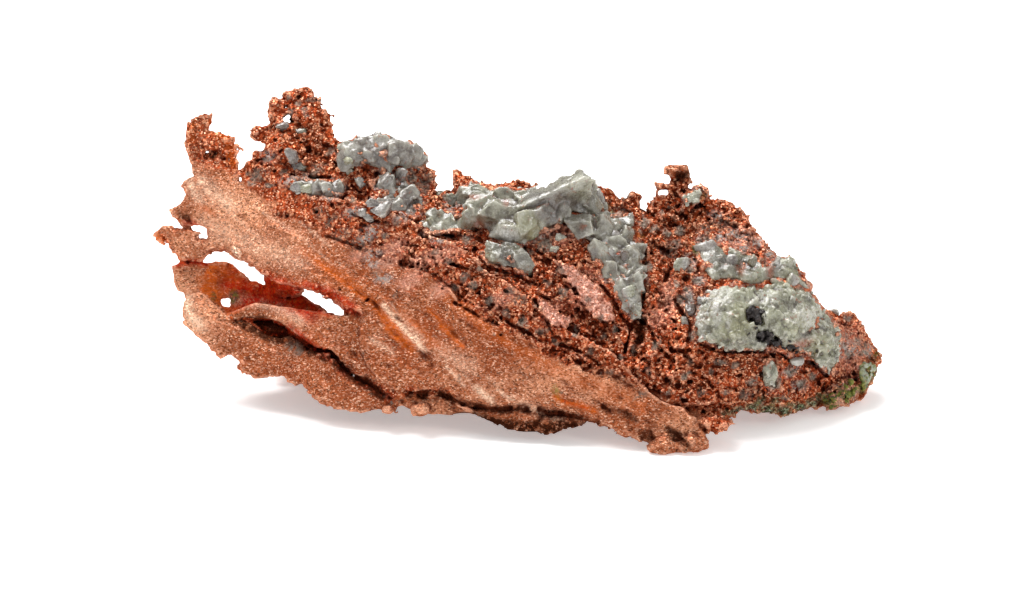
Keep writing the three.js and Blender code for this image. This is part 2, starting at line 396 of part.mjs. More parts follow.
const stones = { green: greenStone, dark: darkStone, prehnite: paleStone };
for (const [name, body] of minerals) place(name, body, stones[name.split("_")[0]]);

part.position.set(SHIFT_X, SHIFT_Y, -BASE_Z);
export default part;
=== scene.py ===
# Native copper ore: sheet leaves of copper grown into a crumbly copper mass that holds
# pale green-grey prehnite, with green crusts and black grains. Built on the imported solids.
import math
import time

import bpy
import numpy as np
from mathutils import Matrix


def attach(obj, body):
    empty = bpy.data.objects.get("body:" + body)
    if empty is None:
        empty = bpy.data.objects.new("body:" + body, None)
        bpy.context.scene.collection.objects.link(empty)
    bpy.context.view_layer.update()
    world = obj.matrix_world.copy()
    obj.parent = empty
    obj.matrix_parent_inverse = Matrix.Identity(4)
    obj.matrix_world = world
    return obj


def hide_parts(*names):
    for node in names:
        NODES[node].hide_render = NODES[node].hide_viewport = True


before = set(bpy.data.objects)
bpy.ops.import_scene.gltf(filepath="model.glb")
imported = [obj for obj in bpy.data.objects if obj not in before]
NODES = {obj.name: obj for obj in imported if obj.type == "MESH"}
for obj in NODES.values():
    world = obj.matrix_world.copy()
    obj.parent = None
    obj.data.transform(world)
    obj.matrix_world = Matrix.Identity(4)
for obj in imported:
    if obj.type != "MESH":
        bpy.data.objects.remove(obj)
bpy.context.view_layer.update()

import openvdb

MM = 1000.0
T0 = time.time()


def lap(text):
    print("%6.1f s  %s" % (time.time() - T0, text), flush=True)


# ---------------------------------------------------------------- the face plane
# The broad face leans back by LEAN: u runs right, v up the face, w in from the face.
LEAN = math.radians(20)
CS, SN = math.cos(LEAN), math.sin(LEAN)
_all = [n.matrix_world @ v.co for n in NODES.values() for v in n.data.vertices]
OX = max(c.x for c in _all) * MM - 60.008
OY = min(c.y for c in _all) * MM + 0.249


def to_xyz(u, v, w):
    return np.stack([u + OX, w * CS + v * SN + OY, -w * SN + v * CS], -1)


def to_uvw(p):
    y = p[..., 1] - OY
    return p[..., 0] - OX, y * SN + p[..., 2] * CS, y * CS - p[..., 2] * SN


# The sheet leaves' outlines in the face plane, mm: the upper leaf,
LEAF_UPPER = [
    (-53.92, 54.33),
    (-53.59, 55.64),
    (-52.6, 55.81),
    (-52.11, 55.48),
    (-51.78, 56.14),
    (-50.96, 55.97),
    (-50.79, 54.99),
    (-50.96, 53.84),
    (-50.3, 53.34),
    (-49.48, 52.85),
    (-48.33, 52.52),
    (-47.67, 52.68),
    (-47.01, 53.01),
    (-46.36, 52.19),
    (-45.53, 51.37),
    (-45.37, 50.55),
    (-44.71, 50.38),
    (-44.38, 49.73),
    (-44.05, 48.9),
    (-42.08, 47.59),
    (-39.95, 46.6),
    (-35.84, 45.62),
    (-30.9, 42.82),
    (-24.33, 41.18),
    (-16.11, 37.89),
    (-7.89, 32.96),
    (0.33, 27.21),
    (8.55, 20.63),
    (15.12, 17.34),
    (20.05, 11.59),
    (22.52, 9.62),
    (24.99, 8.79),
    (27.12, 7.81),
    (28.77, 6.33),
    (30.08, 4.52),
    (30.58, 3.21),
    (31.23, 1.89),
    (30.9, 1.07),
    (29.92, 0.9),
    (29.1, 0.74),
    (28.27, 0.08),
    (26.63, -0.08),
    (24.16, 0.08),
    (22.52, 0.58),
    (21.7, 1.4),
    (20.88, 2.22),
    (19.23, 2.88),
    (17.59, 3.53),
    (15.95, 4.19),
    (14.3, 4.85),
    (12.66, 5.51),
    (11.01, 5.51),
    (9.37, 4.68),
    (7.73, 4.68),
    (6.08, 4.19),
    (4.93, 3.53),
    (2.79, 3.86),
    (0.33, 3.86),
    (-2.14, 4.19),
    (-3.78, 5.18),
    (-5.42, 6.16),
    (-7.89, 7.15),
    (-11.18, 9.12),
    (-14.47, 10.44),
    (-17.75, 10.27),
    (-19.4, 10.11),
    (-21.04, 11.59),
    (-23.34, 12.74),
    (-24.66, 14.71),
    (-25.97, 17.34),
    (-25.64, 20.63),
    (-25.81, 22.93),
    (-27.12, 23.75),
    (-28.77, 24.08),
    (-30.08, 25.07),
    (-30.58, 25.73),
    (-31.23, 25.56),
    (-32.22, 26.05),
    (-32.88, 27.04),
    (-34.19, 27.37),
    (-35.34, 27.7),
    (-36.49, 28.03),
    (-38.3, 27.86),
    (-39.45, 28.36),
    (-40.44, 29.01),
    (-40.6, 29.51),
    (-41.42, 29.51),
    (-42.08, 29.84),
    (-43.07, 30.49),
    (-44.05, 31.15),
    (-44.88, 31.81),
    (-46.03, 31.81),
    (-47.01, 32.3),
    (-47.51, 32.96),
    (-48.0, 33.62),
    (-48.82, 33.78),
    (-49.64, 33.62),
    (-50.63, 33.29),
    (-51.45, 32.47),
    (-52.11, 31.81),
    (-52.93, 32.14),
    (-53.92, 31.97),
    (-55.07, 31.97),
    (-55.89, 32.3),
    (-56.71, 33.12),
    (-57.21, 34.11),
    (-57.7, 35.26),
    (-58.36, 36.08),
    (-59.01, 36.41),
    (-58.68, 35.42),
    (-58.36, 35.1),
    (-59.18, 34.93),
    (-59.84, 35.42),
    (-60.0, 36.41),
    (-59.67, 37.23),
    (-59.18, 37.89),
    (-58.52, 38.05),
    (-57.53, 37.73),
    (-56.55, 37.23),
    (-54.9, 37.07),
    (-53.26, 37.07),
    (-52.44, 36.9),
    (-51.95, 36.41),
    (-52.77, 36.25),
    (-53.1, 35.75),
    (-52.27, 35.42),
    (-51.45, 35.75),
    (-51.12, 36.74),
    (-51.62, 37.4),
    (-52.93, 37.56),
    (-53.92, 37.56),
    (-55.07, 37.73),
    (-55.89, 37.89),
    (-56.22, 38.88),
    (-57.04, 39.37),
    (-57.53, 40.19),
    (-56.71, 41.01),
    (-55.89, 41.67),
    (-55.07, 42.33),
    (-54.74, 43.15),
    (-55.07, 43.64),
    (-55.56, 44.47),
    (-55.07, 45.29),
    (-54.25, 45.62),
    (-53.42, 45.78),
    (-53.92, 46.6),
    (-54.41, 47.75),
    (-54.58, 48.9),
    (-54.41, 50.22),
    (-54.9, 51.04),
    (-54.74, 52.19),
    (-54.41, 53.51),
]

# the lower leaf,
LEAF_LOWER = [
    (-47.01, 22.11),
    (-44.88, 22.44),
    (-43.23, 21.29),
    (-41.59, 19.97),
    (-39.12, 19.48),
    (-37.48, 19.97),
    (-35.84, 18.82),
    (-33.86, 17.18),
    (-32.22, 17.34),
    (-30.58, 16.68),
    (-28.93, 14.71),
    (-27.29, 13.07),
    (-24.99, 12.74),
    (-23.01, 11.1),
    (-21.04, 9.45),
    (-19.07, 9.78),
    (-16.11, 10.27),
    (-12.82, 9.78),
    (-7.89, 7.81),
    (-2.96, 5.84),
    (1.97, 5.01),
    (4.93, 3.86),
    (2.79, 3.86),
    (0.33, 3.86),
    (-2.14, 4.19),
    (-3.78, 5.18),
    (-5.42, 6.16),
    (-7.89, 6.0),
    (-11.18, 6.33),
    (-13.48, 6.0),
    (-14.47, 5.51),
    (-15.45, 5.34),
    (-16.44, 5.67),
    (-17.1, 6.16),
    (-16.77, 6.82),
    (-16.93, 7.32),
    (-17.59, 7.32),
    (-18.41, 7.64),
    (-19.23, 8.14),
    (-20.05, 7.81),
    (-20.38, 6.82),
    (-21.37, 6.49),
    (-22.19, 6.99),
    (-22.85, 7.64),
    (-23.51, 7.48),
    (-24.16, 6.99),
    (-24.99, 6.49),
    (-25.97, 6.66),
    (-27.62, 6.99),
    (-29.26, 7.32),
    (-30.9, 7.97),
    (-32.55, 8.47),
    (-33.53, 8.96),
    (-33.86, 9.95),
    (-34.52, 11.1),
    (-35.34, 11.75),
    (-35.67, 11.42),
    (-36.49, 11.59),
    (-37.48, 12.25),
    (-38.63, 13.07),
    (-39.78, 12.74),
    (-41.1, 12.74),
    (-42.08, 12.41),
    (-43.23, 12.58),
    (-44.55, 13.23),
    (-45.7, 14.05),
    (-46.19, 14.71),
    (-45.7, 15.21),
    (-46.36, 15.7),
    (-47.18, 16.36),
    (-48.0, 16.36),
    (-48.99, 16.03),
    (-49.81, 16.85),
    (-50.47, 17.34),
    (-51.12, 18.16),
    (-52.11, 19.15),
    (-52.93, 19.81),
    (-53.92, 20.3),
    (-54.9, 21.45),
    (-55.4, 22.6),
    (-55.56, 23.92),
    (-55.23, 25.23),
    (-54.58, 26.22),
    (-53.59, 26.71),
    (-51.95, 26.71),
    (-50.63, 25.89),
    (-49.32, 24.74),
    (-48.0, 23.59),
]

# the folded leaf between them,
LEAF_RIDGE = [
    (-48.0, 23.42),
    (-46.36, 23.59),
    (-44.88, 24.41),
    (-43.23, 25.07),
    (-40.77, 24.9),
    (-38.3, 24.41),
    (-35.84, 23.59),
    (-33.37, 23.42),
    (-30.9, 22.93),
    (-28.44, 23.26),
    (-25.97, 22.93),
    (-24.0, 22.27),
    (-21.86, 18.16),
    (-19.4, 12.41),
    (-20.05, 10.44),
    (-22.03, 11.42),
    (-24.33, 12.58),
    (-26.63, 12.74),
    (-28.27, 13.73),
    (-29.59, 15.53),
    (-30.9, 17.18),
    (-32.88, 18.16),
    (-34.85, 18.66),
    (-36.33, 19.64),
    (-37.81, 20.96),
    (-39.12, 21.78),
    (-40.77, 22.44),
    (-42.74, 22.44),
    (-44.71, 22.6),
    (-46.68, 22.11),
]

# and the wall leaf behind them.
LEAF_BACK = [
    (-57.04, 31.15),
    (-55.56, 31.81),
    (-52.27, 31.64),
    (-51.12, 31.32),
    (-49.64, 31.64),
    (-48.16, 31.81),
    (-47.01, 31.48),
    (-46.19, 30.66),
    (-45.21, 29.51),
    (-44.05, 28.52),
    (-42.74, 28.36),
    (-42.08, 27.86),
    (-41.1, 28.36),
    (-40.11, 28.85),
    (-39.12, 27.7),
    (-37.48, 27.21),
    (-36.49, 26.88),
    (-35.34, 26.22),
    (-34.19, 25.56),
    (-32.88, 24.58),
    (-30.58, 23.1),
    (-28.44, 21.45),
    (-25.97, 18.16),
    (-27.62, 15.7),
    (-30.9, 16.03),
    (-35.84, 17.34),
    (-40.77, 18.99),
    (-45.7, 19.81),
    (-49.81, 20.63),
    (-53.1, 22.27),
    (-54.9, 24.74),
    (-54.9, 26.71),
    (-56.22, 27.04),
    (-56.88, 28.52),
    (-56.71, 29.67),
    (-56.88, 30.82),
]

# Mineral grains held in the copper: u, v, half width, half height, turn, kind.
GRAINS = [
    (-38.63, 54.16, 0.99, 0.66, 20, 'g'),
    (-35.67, 53.34, 0.82, 0.49, 0, 'p'),
    (-37.15, 49.07, 0.9, 1.15, 20, 'p'),
    (-35.67, 47.59, 0.99, 0.82, 0, 'p'),
    (-27.95, 48.41, 0.82, 0.99, 0, 'y'),
    (-25.97, 44.79, 0.66, 0.99, 10, 'p'),
    (-21.7, 44.79, 0.99, 1.48, 0, 'p'),
    (-18.58, 42.16, 1.48, 1.15, 0, 'g'),
    (-28.6, 50.71, 0.99, 0.66, 0, 'p'),
    (-29.59, 43.81, 0.74, 0.99, 10, 'w'),
    (-27.62, 46.77, 0.49, 0.49, 0, 'p'),
    (-32.22, 44.3, 0.82, 0.66, 0, 'p'),
    (-34.52, 43.81, 0.99, 0.66, 0, 'y'),
    (-36.49, 44.14, 0.82, 0.66, 0, 'p'),
    (-25.64, 40.03, 0.66, 0.66, 0, 'p'),
    (-19.4, 45.95, 0.82, 0.99, 0, 'p'),
    (-24.66, 39.04, 0.66, 0.49, 0, 'w'),
    (-22.68, 40.52, 1.32, 1.15, -10, 'p'),
    (-24.0, 41.34, 0.99, 0.66, 0, 'p'),
    (-20.55, 41.18, 0.99, 0.82, 0, 'g'),
    (-18.74, 44.3, 0.66, 0.82, 0, 'p'),
    (-10.85, 42.0, 0.66, 1.15, 10, 'p'),
    (-14.47, 38.38, 0.66, 0.66, 0, 'p'),
    (-10.36, 37.73, 0.82, 0.82, 0, 'p'),
    (-12.16, 38.38, 0.66, 0.82, 0, 'p'),
    (11.01, 42.82, 0.82, 1.32, 15, 'p'),
    (13.48, 42.16, 0.66, 1.32, 20, 'p'),
    (14.14, 38.38, 0.82, 0.66, 0, 'p'),
    (16.44, 35.42, 0.82, 1.32, 20, 'p'),
    (18.08, 36.74, 0.66, 0.99, 20, 'w'),
    (14.79, 32.79, 0.82, 1.15, 0, 'p'),
    (16.11, 31.81, 0.99, 1.15, 0, 'p'),
    (17.75, 32.47, 0.82, 1.15, 0, 'g'),
    (19.23, 28.36, 1.15, 1.32, 0, 'p'),
    (18.08, 26.55, 0.99, 0.99, 20, 'p'),
    (19.4, 24.25, 0.66, 0.99, 0, 'w'),
    (15.78, 30.16, 0.99, 0.99, 0, 'p'),
    (31.73, 33.62, 1.15, 1.32, 20, 'p'),
    (33.37, 32.3, 0.99, 1.15, 0, 'p'),
    (35.01, 31.81, 0.99, 0.99, 0, 'p'),
    (38.47, 31.81, 0.66, 0.99, 0, 'g'),
    (26.79, 31.15, 0.82, 1.15, 0, 'p'),
    (43.56, 30.82, 0.99, 1.64, -25, 'p'),
    (45.04, 28.68, 0.99, 0.99, -30, 'p'),
    (52.11, 23.59, 0.66, 0.49, 0, 'w'),
    (28.27, 23.59, 0.82, 0.99, 0, 'g'),
    (27.29, 21.95, 0.66, 0.82, 0, 'p'),
    (30.25, 25.56, 0.66, 0.49, 0, 'w'),
    (41.42, 13.56, 0.99, 1.64, 5, 'p'),
    (45.86, 15.37, 0.99, 0.66, 0, 'p'),
    (5.92, 33.78, 0.66, 0.66, 0, 'w'),
    (6.9, 35.75, 0.82, 0.66, 0, 'w'),
    (-45.7, 33.45, 1.15, 0.99, 0, 'o'),
    (39.78, 19.97, 0.55, 0.29, 35, 'k'),
    (41.1, 19.15, 0.62, 0.35, 35, 'k'),
    (42.41, 18.33, 0.49, 0.35, 20, 'k'),
    (38.14, 23.92, 0.43, 0.35, 60, 'k'),
    (39.29, 22.44, 0.49, 0.35, 0, 'k'),
    (44.71, 17.84, 0.49, 0.35, 30, 'k'),
    (40.11, 23.59, 0.37, 0.35, 0, 'k'),
    (38.3, 22.93, 0.27, 0.16, 40, 'k'),
    (37.64, 23.59, 0.2, 0.14, 0, 'k'),
    (39.78, 21.78, 0.27, 0.14, 70, 'k'),
    (40.44, 22.93, 0.2, 0.13, 0, 'k'),
    (39.12, 20.96, 0.22, 0.14, 20, 'k'),
    (39.45, 18.82, 0.25, 0.14, 0, 'k'),
    (41.42, 19.81, 0.22, 0.14, 50, 'k'),
    (43.56, 17.67, 0.3, 0.15, -20, 'k'),
    (45.7, 16.85, 0.27, 0.15, 20, 'k'),
    (44.55, 18.82, 0.22, 0.13, 0, 'k'),
    (37.81, 19.97, 0.2, 0.13, 30, 'k'),
]

# Thin mineral stains and pale patches: u, v, half width, half height, turn, kind.
PATCHES = [
    (-28.77, 36.41, 1.64, 0.99, 20, 'dg'),
    (-25.97, 34.93, 2.3, 1.15, 15, 'dg'),
    (-24.99, 35.75, 1.32, 0.66, 10, 'w'),
    (-30.9, 38.55, 1.48, 0.99, 30, 'dg'),
    (-32.71, 40.19, 1.32, 0.99, 30, 'dg'),
    (-24.0, 31.48, 1.32, 0.66, 0, 'w'),
    (-22.03, 29.01, 1.48, 0.82, 10, 'w'),
    (-23.01, 29.67, 1.15, 0.82, 0, 'dg'),
    (-20.22, 26.22, 0.66, 0.49, 0, 'dg'),
    (-37.48, 17.51, 1.97, 0.99, 20, 'dg'),
    (-16.11, 31.81, 1.97, 1.32, 20, 'pk'),
    (-20.22, 34.11, 2.63, 1.32, 20, 'pk'),
    (-25.97, 32.96, 1.97, 0.99, 20, 'pk'),
    (-17.75, 28.85, 2.3, 1.32, 30, 'pk'),
    (-12.82, 27.21, 1.97, 1.32, 30, 'pk'),
    (11.01, 27.21, 2.63, 3.62, -35, 'pk'),
    (5.59, 23.59, 1.64, 1.97, -35, 'pk'),
    (6.9, 36.25, 2.3, 1.64, 0, 'pk'),
    (37.32, 35.75, 3.62, 1.64, 10, 'pk'),
    (6.25, 10.6, 0.66, 1.32, 15, 'yg'),
    (39.29, 34.93, 1.48, 0.82, 10, 'w'),
    (36.49, 35.75, 1.97, 0.82, 10, 'w'),
    (33.53, 36.08, 1.32, 0.99, 0, 'w'),
    (41.42, 33.12, 0.99, 0.99, 30, 'w'),
    (37.32, 34.11, 1.97, 0.66, 10, 'w'),
    (31.89, 35.42, 1.32, 0.82, 0, 'dg'),
    (-10.36, 38.71, 1.64, 1.64, 0, 'dg'),
    (-12.82, 35.75, 1.64, 0.99, 0, 'w'),
    (-24.0, 32.96, 1.64, 0.82, 15, 'w'),
    (-27.29, 40.03, 1.32, 0.82, 20, 'w'),
    (0.33, 25.56, 1.32, 0.99, 0, 'dg'),
    (29.92, 23.92, 0.99, 2.3, 0, 'dg'),
    (27.95, 25.56, 0.99, 1.64, 0, 'w'),
    (53.75, 19.81, 1.32, 0.99, 0, 'dg'),
    (54.9, 17.01, 1.32, 0.99, 0, 'w'),
    (57.04, 18.16, 0.99, 0.82, 0, 'dg'),
    (57.86, 17.01, 0.82, 0.99, 0, 'w'),
    (44.71, 13.73, 1.64, 0.82, 20, 'w'),
    (46.36, 11.75, 0.99, 0.82, 0, 'w'),
    (38.47, 10.44, 1.32, 0.66, 0, 'dg'),
    (28.27, 31.81, 0.99, 1.64, 10, 'w'),
    (29.92, 28.85, 0.99, 0.99, 0, 'w'),
    (20.05, 9.95, 1.32, 0.66, 20, 'dg'),
    (38.96, 35.42, 3.62, 1.48, 10, 'pk'),
    (-2.96, 25.56, 2.63, 1.32, 30, 'pk'),
    (6.9, 36.74, 2.96, 1.97, 0, 'pk'),
    (-12.82, 32.96, 3.62, 1.48, 15, 'pk'),
    (24.66, 25.56, 1.48, 3.62, 0, 'pk'),
    (22.52, 22.6, 1.64, 1.64, 0, 'pk'),
    (-21.37, 31.81, 2.3, 1.15, 15, 'pk'),
    (54.58, 17.34, 2.96, 3.95, 0, 'pk'),
    (-42.41, 46.44, 1.48, 1.15, 0, 'dg'),
    (-41.1, 49.23, 1.15, 0.99, 0, 'w'),
    (33.53, 38.38, 2.3, 0.99, 15, 'dg'),
    (32.55, 39.7, 1.32, 0.66, 0, 'w'),
    (35.67, 36.74, 1.64, 0.82, 10, 'w'),
    (29.92, 34.44, 0.82, 1.97, 0, 'w'),
    (30.9, 37.4, 1.32, 0.99, 0, 'dg'),
    (28.27, 25.56, 0.82, 1.97, 0, 'w'),
    (32.55, 30.82, 1.32, 0.82, 0, 'w'),
    (25.32, 33.78, 0.99, 1.64, 0, 'dg'),
    (41.42, 13.4, 1.32, 1.97, 0, 'w'),
    (46.36, 11.42, 1.32, 0.99, 0, 'w'),
    (53.75, 17.34, 1.32, 1.64, 0, 'w'),
    (55.89, 18.16, 1.32, 1.32, 0, 'dg'),
    (-20.05, 45.62, 2.3, 0.99, 20, 'w'),
    (-16.11, 45.29, 1.32, 1.32, 0, 'dg'),
    (-18.58, 39.53, 2.3, 0.99, 20, 'w'),
    (-24.0, 37.07, 1.97, 0.82, 10, 'w'),
    (-10.85, 41.18, 1.32, 1.32, 0, 'w'),
    (-8.55, 35.42, 1.32, 0.99, 0, 'dg'),
    (4.44, 35.42, 2.3, 1.32, 0, 'dg'),
    (6.25, 37.73, 2.63, 1.64, 10, 'pk'),
    (16.77, 40.36, 1.64, 0.99, 0, 'dg'),
    (15.12, 39.37, 1.32, 0.82, 0, 'w'),
    (-36.49, 45.29, 2.63, 0.99, 10, 'w'),
    (-30.9, 42.66, 1.64, 0.82, 0, 'w'),
    (-32.88, 47.26, 1.32, 0.99, 0, 'dg'),
]

# Cracks: path, half width, depth.
CRACKS = [
    ([(24.66, 18.33), (25.32, 17.01), (27.95, 17.18)], 0.27, 0.82),
    ([(-24.0, 12.74), (-20.88, 9.78), (-18.74, 8.79)], 0.17, 0.82),
    ([(-31.73, 36.08), (-28.44, 34.93), (-25.97, 33.95)], 0.15, 0.82),
    ([(-11.18, 31.32), (-7.89, 30.49), (-5.59, 29.34)], 0.2, 0.82),
    ([(-6.58, 35.42), (-4.6, 34.27), (-1.64, 34.27)], 0.2, 0.82),
    ([(0.99, 34.11), (1.64, 31.81), (2.14, 29.67)], 0.2, 0.82),
    ([(2.96, 26.38), (5.26, 25.56), (6.9, 26.71)], 0.2, 0.82),
    ([(2.63, 23.92), (4.44, 22.27), (5.59, 19.97)], 0.2, 0.82),
    ([(13.48, 28.03), (15.45, 25.56), (17.1, 22.6), (18.41, 20.96)], 0.2, 0.82),
    ([(-10.36, 25.07), (-7.89, 23.59), (-5.1, 21.95)], 0.16, 0.82),
    ([(-2.96, 22.6), (-0.99, 21.29), (1.15, 20.47), (3.62, 18.66)], 0.18, 0.82),
    ([(6.9, 18.16), (10.19, 17.01), (12.82, 15.37)], 0.17, 0.82),
    ([(-35.84, 47.59), (-33.86, 45.62), (-30.9, 45.62)], 0.17, 0.82),
    ([(-31.23, 42.66), (-29.26, 42.33), (-27.62, 41.01)], 0.2, 0.82),
    ([(-27.29, 39.7), (-25.32, 38.71), (-23.01, 38.38)], 0.2, 0.82),
    ([(-42.08, 50.22), (-40.44, 48.9), (-38.96, 50.22)], 0.17, 0.82),
    ([(-15.45, 38.38), (-13.48, 36.08), (-10.85, 36.08)], 0.17, 0.82),
    ([(31.23, 39.7), (33.53, 38.38), (35.84, 37.4)], 0.17, 0.82),
    ([(22.52, 34.44), (24.66, 33.45), (25.32, 31.15), (24.0, 28.52)], 0.18, 0.82),
    ([(25.64, 25.56), (26.63, 23.59), (28.27, 21.29), (27.95, 18.66)], 0.2, 0.82),
    ([(29.92, 18.16), (32.88, 17.01), (36.49, 17.01), (40.11, 17.01)], 0.22, 0.82),
    ([(44.71, 15.7), (48.33, 15.04), (50.63, 13.07)], 0.2, 0.82),
    ([(28.27, 13.73), (30.9, 12.41), (33.53, 9.12)], 0.18, 0.82),
    ([(36.49, 32.47), (36.16, 31.15), (37.15, 30.16)], 0.27, 0.82),
    ([(20.88, 41.01), (20.55, 37.89), (20.88, 34.6), (20.38, 30.82), (20.55, 26.88), (20.05, 23.59)], 0.36, 0.82),
    ([(20.38, 30.82), (21.7, 31.81), (22.03, 33.78)], 0.2, 0.82),
    ([(19.73, 22.6), (21.7, 20.63), (22.52, 18.16), (24.66, 16.03)], 0.23, 0.82),
    ([(-45.04, 22.27), (-42.08, 21.95), (-39.12, 21.29), (-36.16, 18.99), (-33.53, 17.34), (-30.74, 16.85), (-28.77, 14.55), (-26.47, 12.74), (-24.33, 11.75)], 0.43, 1.48),
    ([(-24.33, 11.75), (-22.36, 10.44), (-20.38, 9.45)], 0.26, 0.82),
    ([(-19.4, 10.11), (-17.1, 9.78), (-14.47, 10.27), (-12.66, 10.6), (-10.85, 9.62), (-8.55, 8.63), (-5.92, 7.97), (-3.29, 7.64), (-0.66, 7.97), (0.99, 8.3), (2.63, 7.81), (4.93, 6.99), (7.23, 6.66), (10.19, 6.16), (12.82, 5.51)], 0.53, 0.99),
    ([(24.66, 4.52), (25.97, 3.53), (27.62, 1.89)], 0.3, 0.82),
    ([(20.05, 22.93), (19.07, 22.11), (18.25, 20.3), (17.92, 18.49), (17.42, 16.68)], 0.3, 1.81),
]

# Dark pits: u, v, radius.
PITS = [
    (-51.45, 49.23, 0.66),
    (-50.47, 49.4, 0.74),
    (-49.48, 49.4, 0.66),
    (-48.66, 48.9, 0.49),
    (-54.25, 38.38, 0.66),
    (-54.74, 39.04, 0.66),
    (-30.9, 38.88, 0.26),
    (-33.86, 35.92, 0.26),
    (-35.84, 38.05, 0.23),
    (-31.89, 32.79, 0.26),
    (-30.08, 28.52, 0.26),
    (-29.26, 27.21, 0.25),
    (-24.82, 25.56, 0.3),
    (-20.05, 27.04, 0.41),
    (-42.08, 21.78, 0.66),
    (-43.73, 21.78, 0.49),
    (-40.44, 21.12, 0.66),
    (-41.1, 21.95, 0.66),
    (-39.78, 20.47, 0.49),
    (36.49, 23.59, 0.33),
    (38.47, 22.93, 0.41),
    (41.42, 18.99, 0.41),
    (35.67, 30.82, 0.66),
    (36.16, 31.81, 0.58),
    (36.66, 30.49, 0.49),
    (24.49, 16.03, 0.49),
    (23.84, 15.04, 0.49),
    (26.63, 17.18, 0.58),
    (27.95, 17.34, 0.49),
    (-9.86, 30.82, 0.49),
    (-7.23, 30.16, 0.49),
    (4.93, 26.88, 0.49),
    (4.44, 30.49, 0.66),
    (6.25, 31.15, 0.58),
    (10.68, 31.81, 0.49),
    (-1.97, 26.88, 0.41),
    (2.96, 22.93, 0.49),
    (-11.84, 29.84, 0.41),
    (-2.96, 19.64, 0.33),
    (-38.14, 57.45, 0.41),
    (-42.74, 50.55, 0.33),
    (-39.95, 51.86, 0.41),
    (-35.84, 51.53, 0.33),
    (-32.88, 50.22, 0.33),
    (-27.29, 44.3, 0.41),
    (-30.58, 41.01, 0.49),
    (-29.26, 41.18, 0.49),
    (-28.27, 38.38, 0.41),
    (-25.64, 37.73, 0.41),
    (29.92, 39.7, 0.33),
    (33.21, 36.74, 0.41),
    (22.52, 26.88, 0.49),
    (23.34, 25.07, 0.49),
    (25.32, 22.27, 0.49),
    (29.92, 17.01, 0.49),
    (32.55, 11.59, 0.49),
    (36.49, 13.23, 0.49),
    (20.88, 15.7, 0.41),
    (11.84, 20.63, 0.41),
]

# Folds and grooves in the sheet: path, half width, height.
FOLDS = [
    ([(-32.88, 31.81), (-28.44, 28.36), (-23.67, 24.9), (-20.88, 20.63), (-18.08, 17.84)], 0.36, -0.26),
    ([(-24.0, 25.56), (-20.71, 21.95), (-16.93, 18.0)], 0.33, -0.21),
    ([(-31.56, 31.81), (-26.96, 28.19), (-22.52, 24.9), (-19.73, 20.96)], 0.49, 0.18),
    ([(-14.47, 23.92), (-12.0, 21.45), (-10.03, 19.32)], 0.36, -0.2),
    ([(-18.58, 25.56), (-14.47, 20.63), (-9.21, 17.01)], 0.58, 0.13),
    ([(-44.71, 24.25), (-42.08, 24.9), (-39.12, 24.41), (-36.16, 22.93), (-30.9, 19.64), (-28.27, 16.52), (-25.15, 13.4)], 0.59, 0.25),
    ([(-52.27, 37.07), (-45.7, 34.77), (-37.48, 31.81), (-30.9, 28.03), (-25.97, 23.59)], 1.15, 0.13),
    ([(-53.1, 43.64), (-45.7, 41.18), (-37.48, 36.74), (-30.9, 33.45)], 1.32, 0.12),
    ([(-50.63, 39.53), (-42.41, 36.74), (-35.84, 33.78)], 0.66, -0.08),
    ([(-45.7, 31.81), (-39.12, 28.03), (-32.55, 23.92), (-27.62, 19.32), (-21.86, 13.73)], 0.99, 0.1),
    ([(-19.4, 17.01), (-12.82, 12.41), (-4.6, 9.12), (3.62, 7.48)], 0.99, 0.1),
    ([(-7.89, 18.99), (0.33, 14.71), (8.55, 11.59), (16.77, 8.47), (23.34, 5.01)], 1.32, 0.12),
    ([(6.9, 9.45), (9.37, 8.79), (11.84, 7.81)], 0.33, -0.2),
    ([(-10.36, 17.01), (-2.96, 13.73), (4.44, 11.1)], 0.82, -0.1),
    ([(-47.34, 18.99), (-42.08, 15.37), (-35.84, 12.08), (-29.26, 9.12)], 0.99, 0.13),
    ([(-51.45, 20.63), (-46.52, 17.01), (-40.77, 14.05)], 0.66, -0.12),
    ([(-16.11, 9.12), (-11.18, 7.48), (-6.25, 7.15), (-2.14, 5.84)], 0.49, 0.15),
    ([(13.48, 7.81), (17.59, 5.84), (21.7, 2.88)], 0.66, -0.12),
    ([(-54.9, 43.64), (-51.45, 44.3), (-47.67, 43.32)], 0.66, 0.12),
    ([(-58.85, 36.9), (-56.22, 35.42), (-52.27, 34.44)], 0.49, 0.12),
]

